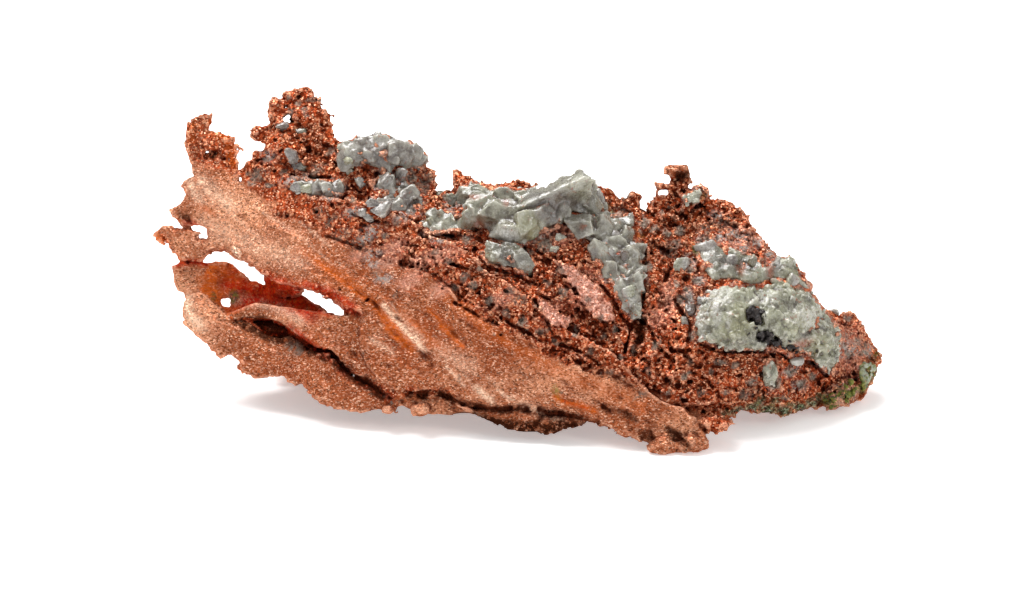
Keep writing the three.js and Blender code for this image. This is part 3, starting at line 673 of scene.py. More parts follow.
# Painted light streaks: path, half width, kind, strength; 'or' is a painted orange glow in grooves and along rims, 'rd'
# painted red bounce light and shade in recesses, 'gd' painted glints.
STREAKS = [
    ([(-32.88, 31.81), (-28.44, 28.36), (-23.67, 24.9), (-20.88, 20.63), (-18.08, 17.84)], 0.49, 'or', 0.9),
    ([(-24.0, 25.56), (-20.71, 21.95), (-16.93, 18.0)], 0.43, 'or', 0.9),
    ([(-14.47, 23.92), (-12.0, 21.45), (-10.03, 19.32)], 0.43, 'or', 0.8),
    ([(-35.84, 33.45), (-30.9, 30.82), (-25.97, 27.21)], 0.66, 'or', 0.5),
    ([(-20.22, 23.92), (-16.11, 20.63), (-12.0, 17.34)], 0.82, 'or', 0.45),
    ([(-10.36, 25.56), (-6.25, 21.45), (-1.32, 18.16)], 0.99, 'or', 0.4),
    ([(0.33, 17.34), (6.9, 13.73), (13.48, 11.1), (20.05, 8.3)], 1.15, 'or', 0.35),
    ([(-54.9, 38.38), (-53.92, 38.38), (-52.6, 37.4)], 0.49, 'rd', 0.8),
    ([(-57.04, 31.15), (-53.92, 31.81), (-51.29, 31.48)], 0.43, 'rd', 0.9),
    ([(-50.63, 31.81), (-48.66, 31.81), (-46.36, 30.16)], 0.66, 'or', 0.9),
    ([(-60.0, 36.74), (-59.51, 35.42), (-58.52, 35.1)], 0.53, 'or', 0.9),
    ([(-54.58, 55.48), (-53.59, 54.82), (-53.92, 51.86)], 0.49, 'or', 0.4),
    ([(-46.52, 55.48), (-45.7, 52.68), (-46.19, 48.58)], 0.49, 'or', 0.5),
    ([(-54.58, 47.26), (-53.59, 43.64), (-52.27, 42.0)], 0.82, 'gd', 0.6),
    ([(-52.27, 45.29), (-49.81, 42.82), (-47.34, 41.18)], 1.15, 'gd', 0.6),
    ([(-54.58, 25.56), (-53.92, 22.93), (-52.27, 21.29)], 0.99, 'gd', 0.8),
    ([(-47.34, 25.56), (-42.08, 25.23), (-37.48, 23.59), (-35.84, 22.27)], 0.82, 'gd', 0.7),
    ([(-51.45, 37.89), (-44.05, 34.6), (-35.84, 31.81)], 1.64, 'gd', 0.35),
    ([(-48.0, 28.19), (-43.73, 26.88), (-38.47, 25.56), (-33.86, 23.26)], 1.48, 'rd', 0.9),
    ([(-37.48, 20.96), (-33.86, 18.0), (-30.25, 15.7)], 0.66, 'rd', 0.9),
    ([(-29.26, 14.38), (-25.64, 12.08), (-21.04, 9.45)], 0.66, 'rd', 0.6),
    ([(-35.01, 28.19), (-30.9, 26.88), (-27.29, 24.58)], 0.66, 'rd', 0.8),
    ([(-12.82, 17.34), (-7.89, 14.71)], 1.32, 'gd', 0.3),
    ([(6.58, 9.45), (8.22, 8.79), (9.86, 8.47), (12.16, 7.48)], 0.39, 'or', 1.0),
    ([(7.23, 9.12), (8.88, 8.47), (11.18, 7.81)], 0.16, 'rd', 0.6),
    ([(-11.84, 14.71), (-10.19, 13.07), (-8.88, 11.42)], 0.26, 'gd', 0.7),
    ([(-10.19, 15.04), (-7.89, 12.08)], 0.2, 'gd', 0.5),
    ([(-3.29, 10.77), (-1.97, 9.78), (-0.66, 9.12)], 0.21, 'gd', 0.8),
    ([(-5.26, 13.07), (-3.29, 11.42)], 0.2, 'gd', 0.5),
    ([(-22.03, 24.9), (-19.73, 21.45), (-17.26, 18.99)], 0.23, 'gd', 0.8),
    ([(-21.04, 25.23), (-18.74, 22.27)], 0.2, 'gd', 0.5),
    ([(-23.34, 30.16), (-21.7, 28.19)], 0.2, 'gd', 0.4),
    ([(-35.84, 38.38), (-30.9, 34.44)], 0.21, 'gd', 0.5),
    ([(-42.08, 40.03), (-35.84, 36.08), (-30.9, 31.81)], 0.21, 'gd', 0.4),
    ([(-48.16, 40.36), (-42.08, 35.42)], 0.21, 'gd', 0.4),
    ([(-24.0, 18.99), (-20.71, 17.01)], 0.49, 'gd', 0.4),
    ([(-51.45, 31.48), (-49.64, 31.48), (-48.0, 30.49), (-46.36, 28.52)], 0.82, 'or', 0.8),
    ([(-56.88, 31.15), (-55.23, 31.64)], 0.41, 'rd', 0.5),
    ([(-51.29, 29.67), (-50.3, 28.03), (-48.99, 26.88)], 0.99, 'or', 0.55),
    ([(-11.84, 25.89), (-7.89, 22.93), (-4.6, 20.63)], 0.66, 'or', 0.35),
    ([(-49.97, 53.84), (-48.0, 51.86), (-46.36, 50.22)], 0.82, 'or', 0.6),
    ([(-47.67, 50.22), (-47.01, 47.75)], 0.66, 'or', 0.6),
    ([(-52.6, 41.18), (-49.97, 39.7)], 0.41, 'or', 0.5),
    ([(-21.7, 20.96), (-19.73, 18.99), (-17.42, 17.34)], 0.36, 'or', 1.0),
    ([(-12.82, 21.29), (-10.85, 19.64), (-9.21, 18.0)], 0.39, 'or', 1.0),
    ([(-48.0, 28.19), (-43.73, 26.88), (-38.47, 25.56), (-33.86, 23.26)], 1.15, 'rd', 1.0),
    ([(-41.42, 28.52), (-39.12, 27.86), (-36.49, 26.88)], 1.32, 'rd', 1.0),
    ([(-32.22, 26.71), (-29.26, 24.58), (-26.3, 23.26)], 0.49, 'rd', 0.9),
    ([(-47.34, 25.56), (-44.05, 26.22), (-40.77, 26.22)], 0.99, 'rd', 0.7),
    ([(-28.93, 28.85), (-25.97, 26.55), (-23.01, 24.25), (-20.38, 20.96), (-17.75, 18.0)], 0.39, 'or', 0.9),
    ([(6.25, 9.62), (7.89, 8.79), (9.86, 8.47), (12.49, 7.32)], 0.43, 'or', 1.0),
    ([(-29.92, 30.16), (-26.63, 27.21), (-22.68, 23.59), (-18.74, 18.99)], 0.99, 'or', 0.16),
    ([(-22.03, 24.58), (-19.73, 21.95), (-17.42, 19.32), (-15.45, 17.34)], 0.49, 'gd', 0.95),
    ([(-6.9, 11.1), (-4.27, 8.96)], 0.58, 'gd', 0.8),
    ([(0.66, 8.63), (4.44, 6.82), (6.9, 6.0)], 0.66, 'gd', 0.6),
    ([(-19.73, 22.6), (-17.75, 20.63), (-16.11, 18.99)], 0.82, 'gd', 0.5),
]

# Flat pale plates in the crumbly copper: outlines.
PLATES = [
    [(6.25, 31.81), (7.89, 31.48), (10.19, 30.16), (12.16, 28.52), (13.81, 26.55), (15.45, 24.25), (16.11, 22.27), (14.47, 21.95), (12.16, 22.93), (10.85, 24.9), (9.53, 26.88), (7.89, 28.85), (6.58, 30.16)],
    [(2.96, 25.89), (4.44, 25.56), (5.59, 24.25), (6.9, 23.26), (8.22, 22.6), (8.55, 21.62), (6.9, 20.96), (5.26, 21.95), (4.27, 23.26), (3.29, 24.58)],
]

# The larger crystals: u, v, half width, half height, turn, pitch, yaw, node.
CRYSTALS = [
    (6.41, 42.66, 6.0, 2.1, 29, -28, 0, 'prehnite_ridge'),
    (10.19, 44.63, 1.9, 2.1, 35, 10, 25, 'prehnite_ridge'),
    (12.16, 41.67, 1.8, 0.95, -48, 10, 15, 'prehnite_ridge'),
    (7.56, 40.03, 0.9, 1.35, -8, 0, 20, 'prehnite_ridge'),
    (-7.73, 42.99, 2.1, 1.0, -10, 25, -10, 'prehnite_ridge'),
    (-6.08, 41.01, 2.5, 1.7, -30, 10, -15, 'prehnite_ridge'),
    (-2.63, 39.7, 2.6, 1.8, -30, 15, 10, 'prehnite_ridge'),
    (-1.81, 36.9, 2.3, 1.5, -20, -10, -10, 'prehnite_ridge'),
    (1.48, 38.05, 1.7, 2.0, 10, 5, 10, 'prehnite_ridge'),
    (-1.97, 42.82, 1.5, 1.1, -15, 20, -15, 'prehnite_ridge'),
    (0.66, 42.66, 1.0, 0.8, 20, 10, 10, 'prehnite_ridge'),
    (3.62, 39.7, 2.0, 1.6, 15, -25, 15, 'prehnite_ridge'),
    (10.52, 37.4, 1.9, 2.0, 20, 15, -10, 'prehnite_vein'),
    (13.81, 37.23, 1.5, 2.2, -15, 0, 20, 'prehnite_vein'),
    (13.48, 32.79, 1.2, 2.4, 25, 0, -20, 'prehnite_vein'),
    (15.29, 30.16, 1.5, 1.5, 10, 10, -10, 'prehnite_vein'),
    (18.58, 32.63, 1.2, 1.9, -8, 5, 20, 'prehnite_vein'),
    (17.75, 35.75, 1.0, 1.7, -28, 0, 25, 'prehnite_vein'),
    (17.75, 38.38, 1.1, 0.85, 10, 20, 0, 'prehnite_vein'),
    (19.07, 27.86, 1.5, 1.7, 10, 15, -15, 'prehnite_vein'),
    (19.23, 24.41, 0.75, 1.7, -12, 0, 20, 'prehnite_vein'),
    (17.26, 26.88, 1.0, 1.9, 35, 0, -10, 'prehnite_vein'),
    (19.73, 30.66, 1.2, 0.65, 5, 25, 0, 'prehnite_vein'),
    (16.27, 34.77, 1.1, 1.3, 30, -10, 10, 'prehnite_vein'),
    (-3.12, 32.96, 2.2, 1.3, -18, 10, -10, 'prehnite_wedge'),
    (0.66, 31.81, 1.1, 1.9, 28, 0, 15, 'prehnite_wedge'),
    (-1.32, 33.78, 1.6, 1.0, -10, 25, 10, 'prehnite_wedge'),
    (-23.01, 51.21, 1.9, 1.1, 5, 20, 0, 'prehnite_crown'),
    (-26.14, 50.88, 1.1, 1.2, -10, 15, -20, 'prehnite_crown'),
    (-20.05, 50.38, 1.4, 1.2, 15, 20, 15, 'prehnite_crown'),
    (-16.93, 49.73, 1.3, 1.2, -20, 10, 20, 'prehnite_crown'),
    (-28.11, 50.88, 0.8, 0.8, 30, 10, -20, 'prehnite_crown'),
    (-24.33, 49.23, 0.9, 0.9, 10, -10, -20, 'prehnite_crown'),
    (-20.38, 48.74, 1.0, 0.9, -25, -15, 10, 'prehnite_crown'),
    (-18.08, 42.66, 1.6, 1.6, 20, 10, 15, 'prehnite_crown_lower'),
    (-21.53, 44.63, 1.3, 1.5, -10, 10, -15, 'prehnite_crown_lower'),
    (-22.03, 41.01, 1.6, 1.1, -15, 10, 0, 'prehnite_crown_lower'),
    (-19.73, 41.01, 1.2, 1.2, 40, 0, 10, 'prehnite_crown_lower'),
    (-35.67, 44.14, 1.1, 0.9, 10, 10, -10, 'prehnite_tower_crystals'),
    (-33.21, 44.14, 0.8, 1.1, -40, 0, 10, 'prehnite_tower_crystals'),
    (-31.4, 44.14, 0.9, 0.8, 20, 10, 10, 'prehnite_tower_crystals'),
    (-29.59, 43.64, 0.75, 1.15, -15, 0, 15, 'prehnite_tower_crystals'),
]

# Tints on the pale mineral: u, v, half width, half height, turn, kind; kind d is painted shade in recesses, under
# overhangs and on faces turned from the light, with some darker mineral.
TINTS = [
    (1.48, 38.05, 2.14, 1.97, 0, 'y'),
    (2.3, 36.08, 0.99, 0.82, 0, 'y'),
    (-3.45, 32.14, 2.3, 0.82, -18, 'y'),
    (0.33, 30.82, 0.99, 1.32, 0, 'y'),
    (-4.77, 36.9, 1.15, 0.99, 0, 'd'),
    (-2.14, 36.74, 1.97, 1.15, -10, 'w'),
    (-1.81, 33.78, 1.81, 0.66, 5, 'd'),
    (-7.23, 42.49, 0.99, 0.49, 0, 'b'),
    (10.52, 37.56, 0.41, 0.41, 0, 'b'),
    (-1.97, 41.51, 0.49, 0.66, 0, 'b'),
    (-6.41, 37.73, 0.99, 1.32, 0, 'b'),
    (4.93, 41.51, 4.27, 1.32, -29, 'd'),
    (6.25, 39.53, 1.32, 1.48, 0, 'd'),
    (-22.36, 49.56, 1.64, 0.99, 0, 'd'),
    (-23.18, 51.21, 1.81, 0.82, 0, 'w'),
    (15.62, 32.63, 1.32, 0.66, 0, 'd'),
    (18.74, 25.56, 0.66, 1.32, 0, 'w'),
    (11.51, 36.08, 0.82, 1.32, -20, 'w'),
    (31.07, 26.22, 0.66, 1.32, 10, 'w'),
    (32.55, 26.88, 2.3, 0.66, 8, 'w'),
    (30.25, 22.27, 0.82, 2.3, 0, 'w'),
    (47.18, 19.81, 0.99, 0.66, 0, 'd'),
    (44.71, 22.27, 1.32, 0.49, -20, 'w'),
    (29.92, 30.82, 0.82, 1.32, 0, 'd'),
    (28.27, 34.6, 0.99, 0.99, 0, 'g'),
    (37.32, 22.6, 3.62, 2.63, 0, 'y'),
    (47.18, 21.95, 3.62, 1.97, 20, 'y'),
    (35.34, 20.63, 2.63, 1.64, 0, 'y'),
    (49.64, 18.16, 1.97, 1.97, 0, 'y'),
    (36.49, 30.82, 0.66, 1.32, 10, 'b'),
    (41.42, 30.16, 0.66, 1.97, 0, 'b'),
    (29.92, 22.6, 0.66, 2.63, 5, 'w'),
    (32.55, 23.59, 0.82, 2.63, 5, 'w'),
    (33.86, 25.56, 1.64, 0.66, 0, 'w'),
    (34.52, 22.27, 0.49, 1.97, 0, 'w'),
    (40.11, 25.56, 2.63, 0.82, 10, 'w'),
    (31.23, 32.79, 1.32, 1.32, 0, 'w'),
    (44.38, 29.67, 1.32, 1.64, -30, 'y'),
    (39.29, 31.81, 1.32, 0.82, 0, 'w'),
    (46.36, 18.16, 2.3, 0.82, 20, 'b'),
    (57.86, 13.73, 1.32, 2.3, 20, 'w'),
    (57.21, 17.01, 0.99, 1.32, 0, 'w'),
    (34.36, 31.81, 2.63, 1.64, 0, 'd'),
    (37.32, 31.15, 1.97, 1.64, 0, 'd'),
    (31.89, 33.78, 1.32, 1.64, 0, 'd'),
    (-1.97, 32.47, 2.3, 1.32, -15, 'd'),
    (0.0, 31.15, 1.32, 1.32, 0, 'd'),
    (42.25, 31.81, 2.3, 2.3, -30, 'd'),
    (7.89, 42.0, 4.27, 1.48, -29, 'd'),
    (4.6, 40.03, 2.63, 1.32, -29, 'd'),
    (-2.47, 34.93, 2.63, 1.64, 10, 'd'),
    (-0.49, 31.81, 3.62, 2.63, 0, 'd'),
    (47.67, 22.6, 3.29, 1.97, -25, 'w'),
]

# Lower edge of the crumbly band that lies over the upper leaf.
CRUMB_EDGE = [
    (-48.16, 47.26),
    (-46.36, 46.11),
    (-44.22, 44.14),
    (-41.75, 42.33),
    (-39.78, 40.19),
    (-36.49, 39.21),
    (-34.03, 37.4),
    (-32.05, 36.08),
    (-28.93, 35.1),
    (-24.82, 33.62),
    (-19.4, 31.64),
    (-14.14, 29.67),
    (-10.36, 26.22),
    (-7.07, 23.75),
    (-2.96, 21.62),
    (0.82, 19.81),
    (4.44, 17.34),
    (8.22, 15.7),
    (11.84, 14.38),
    (14.96, 13.4),
    (18.41, 12.41),
    (20.88, 11.42),
    (23.51, 10.11),
    (26.96, 8.3),
    (29.42, 7.15),
    (31.89, 4.52),
    (37.32, 2.55),
]

# Places where one leaf runs smoothly into the next: u, v, radius.
MELT = [
    (-27.29, 21.95, 2.14),
    (-26.63, 18.99, 2.3),
    (-25.64, 15.7, 2.3),
    (-24.0, 12.74, 1.97),
    (-22.03, 10.11, 1.64),
    (-19.73, 8.79, 1.32),
    (-25.32, 23.59, 1.64),
    (-24.99, 19.81, 2.3),
    (-24.66, 17.01, 2.3),
    (-23.67, 14.71, 1.97),
]

# Painted shade in dark recesses: outline, darkness, extra depth, crumbliness.
SHADES = [
    ([(-19.4, 10.77), (-17.1, 9.95), (-15.29, 10.44), (-12.66, 10.93), (-9.86, 9.45), (-7.73, 8.47), (-2.96, 7.81), (0.66, 8.47), (2.96, 7.48), (5.59, 6.82), (7.89, 6.49), (6.9, 5.84), (3.62, 6.49), (0.33, 6.82), (-2.96, 6.82), (-6.25, 7.15), (-9.21, 7.81), (-11.84, 9.12), (-14.47, 9.45), (-17.42, 9.12)], 0.95, 0.55, 0.35),
    ([(-11.18, 6.66), (-7.89, 7.15), (-2.96, 5.84), (1.97, 5.18), (5.26, 4.85), (4.93, 3.86), (0.33, 4.19), (-4.6, 5.18), (-8.71, 6.16)], 0.8, 0.2, 0.2),
    ([(2.96, 8.47), (6.9, 7.48), (10.19, 6.49), (13.48, 5.51), (11.84, 4.52), (6.9, 5.18), (3.62, 5.84)], 0.6, 0.3, 0.4),
    ([(-47.67, 22.27), (-45.7, 22.93), (-42.08, 22.6), (-38.3, 21.29), (-35.84, 18.99), (-32.22, 17.34), (-29.26, 15.7), (-26.63, 13.4), (-24.0, 11.75), (-20.71, 9.29), (-22.36, 9.12), (-27.62, 12.08), (-31.23, 15.04), (-35.84, 17.01), (-40.77, 18.66), (-44.71, 19.97)], 0.95, 0.25, 0.0),
    ([(-51.45, 49.4), (-50.3, 50.05), (-49.81, 49.73), (-50.14, 48.9), (-50.96, 48.9)], 1.0, 0.2, 0.0),
    ([(18.08, 17.01), (19.4, 19.81), (20.05, 22.6), (21.04, 22.6), (20.88, 19.32), (19.07, 16.36)], 1.0, 1.0, 0.5),
    ([(-54.58, 40.68), (-53.59, 38.38), (-54.58, 37.73), (-55.89, 39.7)], 0.5, 0.2, 0.0),
    ([(25.97, 46.6), (28.27, 46.93), (28.27, 45.29), (26.96, 44.63), (25.97, 45.29)], 0.9, 0.3, 0.2),
    ([(13.48, 8.47), (16.77, 7.81), (19.07, 6.82), (20.05, 5.18), (18.08, 5.84), (15.45, 6.82), (13.81, 7.48)], 0.75, 0.35, 0.3),
    ([(24.0, 4.85), (25.32, 4.52), (27.62, 2.55), (28.6, 1.07), (27.62, 0.9), (25.97, 2.22), (24.33, 3.53)], 0.9, 0.35, 0.0),
    ([(20.05, 4.19), (21.7, 4.52), (22.36, 2.88), (21.37, 1.89), (20.05, 2.88)], 0.7, 0.3, 0.2),
    ([(-32.88, 27.04), (-30.9, 26.05), (-28.44, 24.58), (-25.97, 23.26), (-26.47, 22.6), (-28.77, 23.59), (-31.23, 25.07)], 0.5, 0.0, 0.0),
    ([(-11.84, 7.15), (-7.89, 7.48), (-2.3, 6.33), (1.97, 5.84), (6.9, 6.0), (12.82, 5.18), (13.48, 4.19), (7.89, 3.21), (1.97, 2.88), (-3.29, 2.88), (-7.89, 3.86), (-11.51, 5.18)], 1.0, 0.0, 0.0),
    ([(21.37, 39.7), (24.66, 41.01), (28.27, 40.03), (29.92, 35.42), (30.25, 28.85), (29.26, 25.56), (23.34, 24.9), (21.04, 27.21), (21.04, 35.42)], 0.3, 0.0, 0.0),
]

# Painted light on the sheet, paler where the light falls: u, v, half width, half height, turn, strength.
PALE = [
    (-46.52, 40.03, 10.19, 5.59, 30, 0.9),
    (-39.95, 34.6, 7.4, 2.3, 30, 0.6),
    (-52.6, 21.45, 4.27, 6.58, -30, 0.8),
    (-35.84, 22.6, 7.89, 1.64, 12, 0.5),
    (-54.74, 28.03, 3.95, 2.63, 0, 0.9),
    (8.55, 13.73, 9.86, 2.3, 25, 0.9),
    (-2.96, 11.59, 9.86, 1.64, 28, 0.45),
    (-9.53, 13.23, 3.29, 1.97, 30, 0.4),
    (-20.22, 22.27, 6.58, 1.32, 38, 0.3),
    (-14.14, 7.81, 3.62, 1.64, 0, 0.7),
    (13.48, 11.1, 5.92, 2.3, 20, 0.7),
    (-56.38, 34.6, 4.27, 2.63, 10, 0.5),
    (26.63, 4.19, 4.27, 2.96, 10, 0.75),
    (-53.59, 51.86, 1.64, 5.59, 0, 0.25),
    (17.59, 9.12, 4.93, 1.32, 25, 0.4),
]

# Gaps right through thin parts: outline, depth.
CUTS = [
    ([(23.39, 46.32), (24.79, 46.06), (25.07, 45.62), (24.99, 44.79), (24.26, 45.11), (23.39, 45.27), (22.34, 45.01), (22.03, 46.27)], 9),
    ([(22.88, 43.15), (23.34, 43.71), (24.33, 43.64), (24.79, 43.07), (24.49, 42.74), (23.67, 42.9), (23.01, 42.66)], 9),
    ([(-38.63, 57.45), (-38.3, 57.62), (-38.14, 57.12), (-38.47, 56.96)], 9),
    ([(-38.83, 55.48), (-38.3, 55.64), (-37.89, 55.32), (-38.05, 54.82), (-38.63, 54.82)], 9),
    ([(-43.07, 50.88), (-42.41, 50.96), (-41.92, 50.55), (-42.25, 49.97), (-42.9, 50.05)], 9),
    ([(-45.9, 50.4), (-45.01, 49.68), (-43.81, 49.43), (-43.92, 48.59), (-44.89, 48.23), (-45.37, 47.26), (-46.21, 46.78), (-46.09, 48.23), (-46.45, 49.18)], 7),
    ([(-46.13, 45.78), (-45.62, 45.86), (-45.5, 45.12), (-45.95, 44.88)], 6),
    ([(-53.79, 37.53), (-52.6, 37.79), (-51.55, 37.4), (-51.39, 36.35), (-52.34, 35.72), (-52.87, 36.08), (-51.95, 36.48), (-52.13, 37.0), (-52.87, 37.1), (-53.61, 36.97)], 8),
    ([(-49.23, 25.56), (-48.66, 25.73), (-47.84, 25.23), (-47.75, 24.58), (-48.66, 24.41), (-49.07, 24.9)], 14),
    ([(-51.53, 50.05), (-51.12, 50.3), (-50.79, 50.05), (-51.12, 49.73), (-51.53, 49.73)], 6),
    ([(-30.25, 57.45), (-27.62, 57.45), (-27.62, 54.82), (-30.25, 54.82)], 40),
]

# Green crusts on the copper: u, v, half width, half height, turn, strength.
GREENS = [
    (29.92, 42.49, 1.32, 0.66, 25, 0.5),
    (50.96, 9.12, 1.64, 0.99, -20, 1.0),
    (53.75, 10.11, 1.48, 0.99, -35, 1.0),
    (58.19, 13.73, 1.15, 1.97, 20, 1.0),
    (59.01, 16.36, 0.66, 0.99, 10, 0.7),
    (56.55, 11.1, 0.99, 0.99, 30, 0.9),
    (14.63, 41.01, 0.66, 0.66, 0, 0.7),
    (15.45, 40.03, 0.49, 0.49, 0, 0.6),
    (29.1, 33.95, 0.49, 0.99, 20, 1.0),
    (-46.85, 26.05, 0.82, 1.32, -15, 0.9),
    (-50.14, 26.05, 0.49, 0.66, 0, 0.9),
    (20.05, 36.08, 0.66, 0.49, 0, 0.3),
    (44.71, 8.47, 0.66, 0.49, 0, 0.9),
    (39.29, 8.63, 0.66, 0.49, 0, 0.8),
    (41.75, 8.3, 0.49, 0.33, 0, 0.8),
]

# Small grey grains flush with the crumb: u, v, half width, half height, turn, kind.
STAINS = [
    (-33.7, 46.11, 0.66, 0.49, 0, 'g'),
    (-36.16, 57.78, 0.49, 0.49, 0, 'g'),
    (-35.01, 56.79, 0.58, 0.66, 0, 'g'),
    (-37.32, 56.47, 0.41, 0.66, 0, 'd'),
    (-33.86, 58.6, 0.49, 0.49, 0, 'd'),
    (-37.81, 58.93, 0.49, 0.41, 0, 'g'),
    (-41.59, 48.58, 0.49, 0.49, 0, 'g'),
    (-43.23, 45.95, 0.82, 0.82, 0, 'd'),
    (-44.22, 44.63, 0.66, 0.49, 0, 'g'),
    (-41.1, 44.47, 0.66, 0.49, 0, 'g'),
    (-38.63, 46.6, 0.66, 0.49, 0, 'd'),
    (-27.29, 41.84, 0.49, 0.49, 0, 'g'),
    (-17.42, 45.62, 0.82, 0.82, 0, 'g'),
    (-15.45, 44.3, 0.66, 0.82, 0, 'd'),
    (-16.44, 48.58, 0.66, 0.66, 0, 'g'),
    (-14.47, 45.62, 0.49, 0.66, 0, 'g'),
    (-20.05, 38.38, 0.66, 0.49, 0, 'd'),
    (-21.86, 36.08, 0.66, 0.41, 0, 'g'),
    (-30.74, 50.05, 0.49, 0.49, 0, 'g'),
    (-8.88, 29.18, 0.66, 0.82, 0, 'g'),
    (-7.56, 27.86, 0.74, 0.66, 0, 'g'),
    (-1.15, 27.04, 0.58, 0.66, 30, 'd'),
    (7.4, 27.04, 0.58, 0.66, 0, 'g'),
    (0.49, 21.95, 0.82, 0.66, 0, 'g'),
    (2.96, 24.58, 0.49, 0.41, 0, 'd'),
    (-11.84, 42.66, 0.49, 0.66, 0, 'g'),
    (-8.38, 35.42, 0.49, 0.66, 0, 'g'),
    (-2.14, 36.08, 0.82, 0.66, 0, 'g'),
    (0.33, 36.08, 0.82, 0.66, 0, 'd'),
    (-5.92, 38.38, 0.66, 0.66, 0, 'g'),
    (17.59, 42.66, 0.49, 0.49, 0, 'g'),
    (13.15, 37.07, 0.82, 0.82, 0, 'g'),
    (20.05, 32.79, 0.82, 0.66, 0, 'g'),
    (20.88, 38.22, 0.82, 0.82, 0, 'g'),
    (22.52, 37.4, 0.66, 0.49, 0, 'g'),
    (23.67, 40.03, 0.49, 0.49, 0, 'g'),
    (21.37, 31.15, 0.66, 0.82, 0, 'g'),
    (20.05, 34.6, 0.66, 0.66, 0, 'd'),
    (26.63, 36.9, 0.66, 0.66, 0, 'g'),
    (24.49, 36.58, 0.66, 0.49, 0, 'g'),
    (26.14, 34.77, 0.82, 0.66, 0, 'd'),
    (30.9, 36.08, 0.66, 0.66, 0, 'd'),
    (36.66, 32.3, 0.82, 0.82, 0, 'g'),
    (28.27, 30.49, 0.49, 0.49, 0, 'g'),
    (29.92, 28.52, 0.66, 0.49, 0, 'g'),
    (40.6, 31.81, 0.49, 0.82, 0, 'd'),
    (46.36, 27.21, 0.66, 0.82, 0, 'g'),
    (54.25, 22.6, 0.66, 0.49, 0, 'g'),
    (28.77, 19.81, 0.66, 0.66, 0, 'g'),
    (26.63, 25.56, 0.49, 0.66, 0, 'g'),
    (27.62, 27.21, 0.49, 0.49, 0, 'g'),
    (25.97, 28.36, 0.49, 0.49, 0, 'g'),
    (42.58, 11.59, 0.66, 0.82, 0, 'g'),
    (35.67, 14.88, 0.66, 0.49, 0, 'g'),
    (33.04, 15.37, 0.66, 0.49, 0, 'g'),
    (31.56, 13.73, 0.49, 0.49, 0, 'd'),
    (38.47, 12.08, 0.66, 0.66, 0, 'g'),
    (37.15, 9.78, 0.82, 0.66, 0, 'd'),
    (28.27, 15.37, 0.66, 0.49, 0, 'd'),
    (27.12, 12.9, 0.49, 0.49, 0, 'g'),
    (29.92, 10.44, 0.66, 0.49, 0, 'd'),
    (22.52, 18.16, 0.49, 0.66, 0, 'g'),
    (21.37, 13.73, 0.49, 0.49, 0, 'd'),
    (24.66, 10.27, 0.49, 0.41, 0, 'g'),
    (44.71, 13.73, 0.82, 0.66, 0, 'g'),
    (46.36, 11.92, 0.82, 0.66, 0, 'g'),
    (48.33, 13.07, 0.66, 0.66, 0, 'g'),
    (55.89, 18.66, 0.66, 0.49, 0, 'g'),
    (57.21, 16.85, 0.66, 0.49, 0, 'g'),
    (54.41, 16.52, 0.49, 0.49, 0, 'g'),
    (53.42, 18.16, 0.49, 0.49, 0, 'd'),
    (44.05, 9.45, 0.82, 0.49, 0, 'd'),
    (39.78, 8.47, 0.82, 0.49, 0, 'd'),
    (34.19, 10.44, 0.49, 0.49, 0, 'g'),
    (-6.25, 30.82, 0.66, 0.49, 0, 'g'),
    (-11.51, 31.81, 0.66, 0.49, 0, 'd'),
    (-13.48, 33.45, 0.66, 0.49, 0, 'd'),
    (-10.36, 27.53, 0.49, 0.49, 0, 'd'),
    (-4.6, 25.56, 0.49, 0.49, 0, 'g'),
    (-2.14, 23.59, 0.49, 0.49, 0, 'd'),
    (3.62, 20.3, 0.66, 0.49, 0, 'd'),
    (6.25, 18.66, 0.66, 0.49, 0, 'd'),
    (9.21, 20.14, 0.49, 0.49, 0, 'g'),
    (11.84, 17.34, 0.49, 0.49, 0, 'd'),
    (13.97, 19.48, 0.49, 0.49, 0, 'd'),
    (4.93, 28.36, 0.66, 0.49, 0, 'd'),
    (7.07, 30.49, 0.82, 0.66, 0, 'd'),
    (4.44, 34.44, 0.82, 0.82, 0, 'g'),
    (1.97, 33.45, 0.66, 0.66, 0, 'd'),
    (11.34, 25.56, 0.49, 0.49, 0, 'd'),
    (13.48, 22.6, 0.49, 0.49, 0, 'd'),
    (15.95, 20.63, 0.49, 0.49, 0, 'g'),
    (18.74, 17.67, 0.49, 0.49, 0, 'd'),
    (16.77, 16.36, 0.49, 0.49, 0, 'g'),
    (15.12, 13.73, 0.41, 0.41, 0, 'd'),
    (-4.6, 39.53, 0.49, 0.49, 0, 'g'),
    (-36.0, 17.01, 0.82, 0.49, 20, 'd'),
]

# Other smooth metal: outline, strength.
SMOOTH = [
    ([(14.47, 14.71), (17.59, 13.07), (20.88, 11.42), (23.51, 10.11), (26.96, 8.63), (29.42, 7.32), (31.56, 4.85), (32.22, 0.58), (21.7, -1.07), (17.1, 2.55), (14.47, 3.86), (11.84, 5.18), (12.82, 8.47)], 1.0),
    ([(-19.73, 9.45), (-17.42, 9.78), (-14.47, 9.12), (-11.18, 8.47), (-7.89, 7.15), (-10.19, 6.16), (-12.82, 5.18), (-16.11, 5.18), (-18.74, 6.82), (-22.03, 6.16), (-24.0, 6.82), (-24.66, 8.47)], 1.0),
    ([(-7.89, 7.15), (-2.96, 5.84), (3.62, 5.18), (6.9, 5.84), (11.84, 5.67), (15.12, 4.19), (13.48, 2.55), (3.62, 2.55), (-4.6, 3.86), (-10.36, 5.84)], 0.75),
    ([(-55.4, 56.47), (-51.78, 56.47), (-50.47, 53.84), (-50.47, 50.22), (-51.29, 47.26), (-52.27, 42.66), (-55.56, 42.66)], 1.0),
    ([(23.34, 48.58), (28.6, 48.58), (28.93, 46.93), (27.95, 46.27), (24.0, 46.11)], 0.8),
]

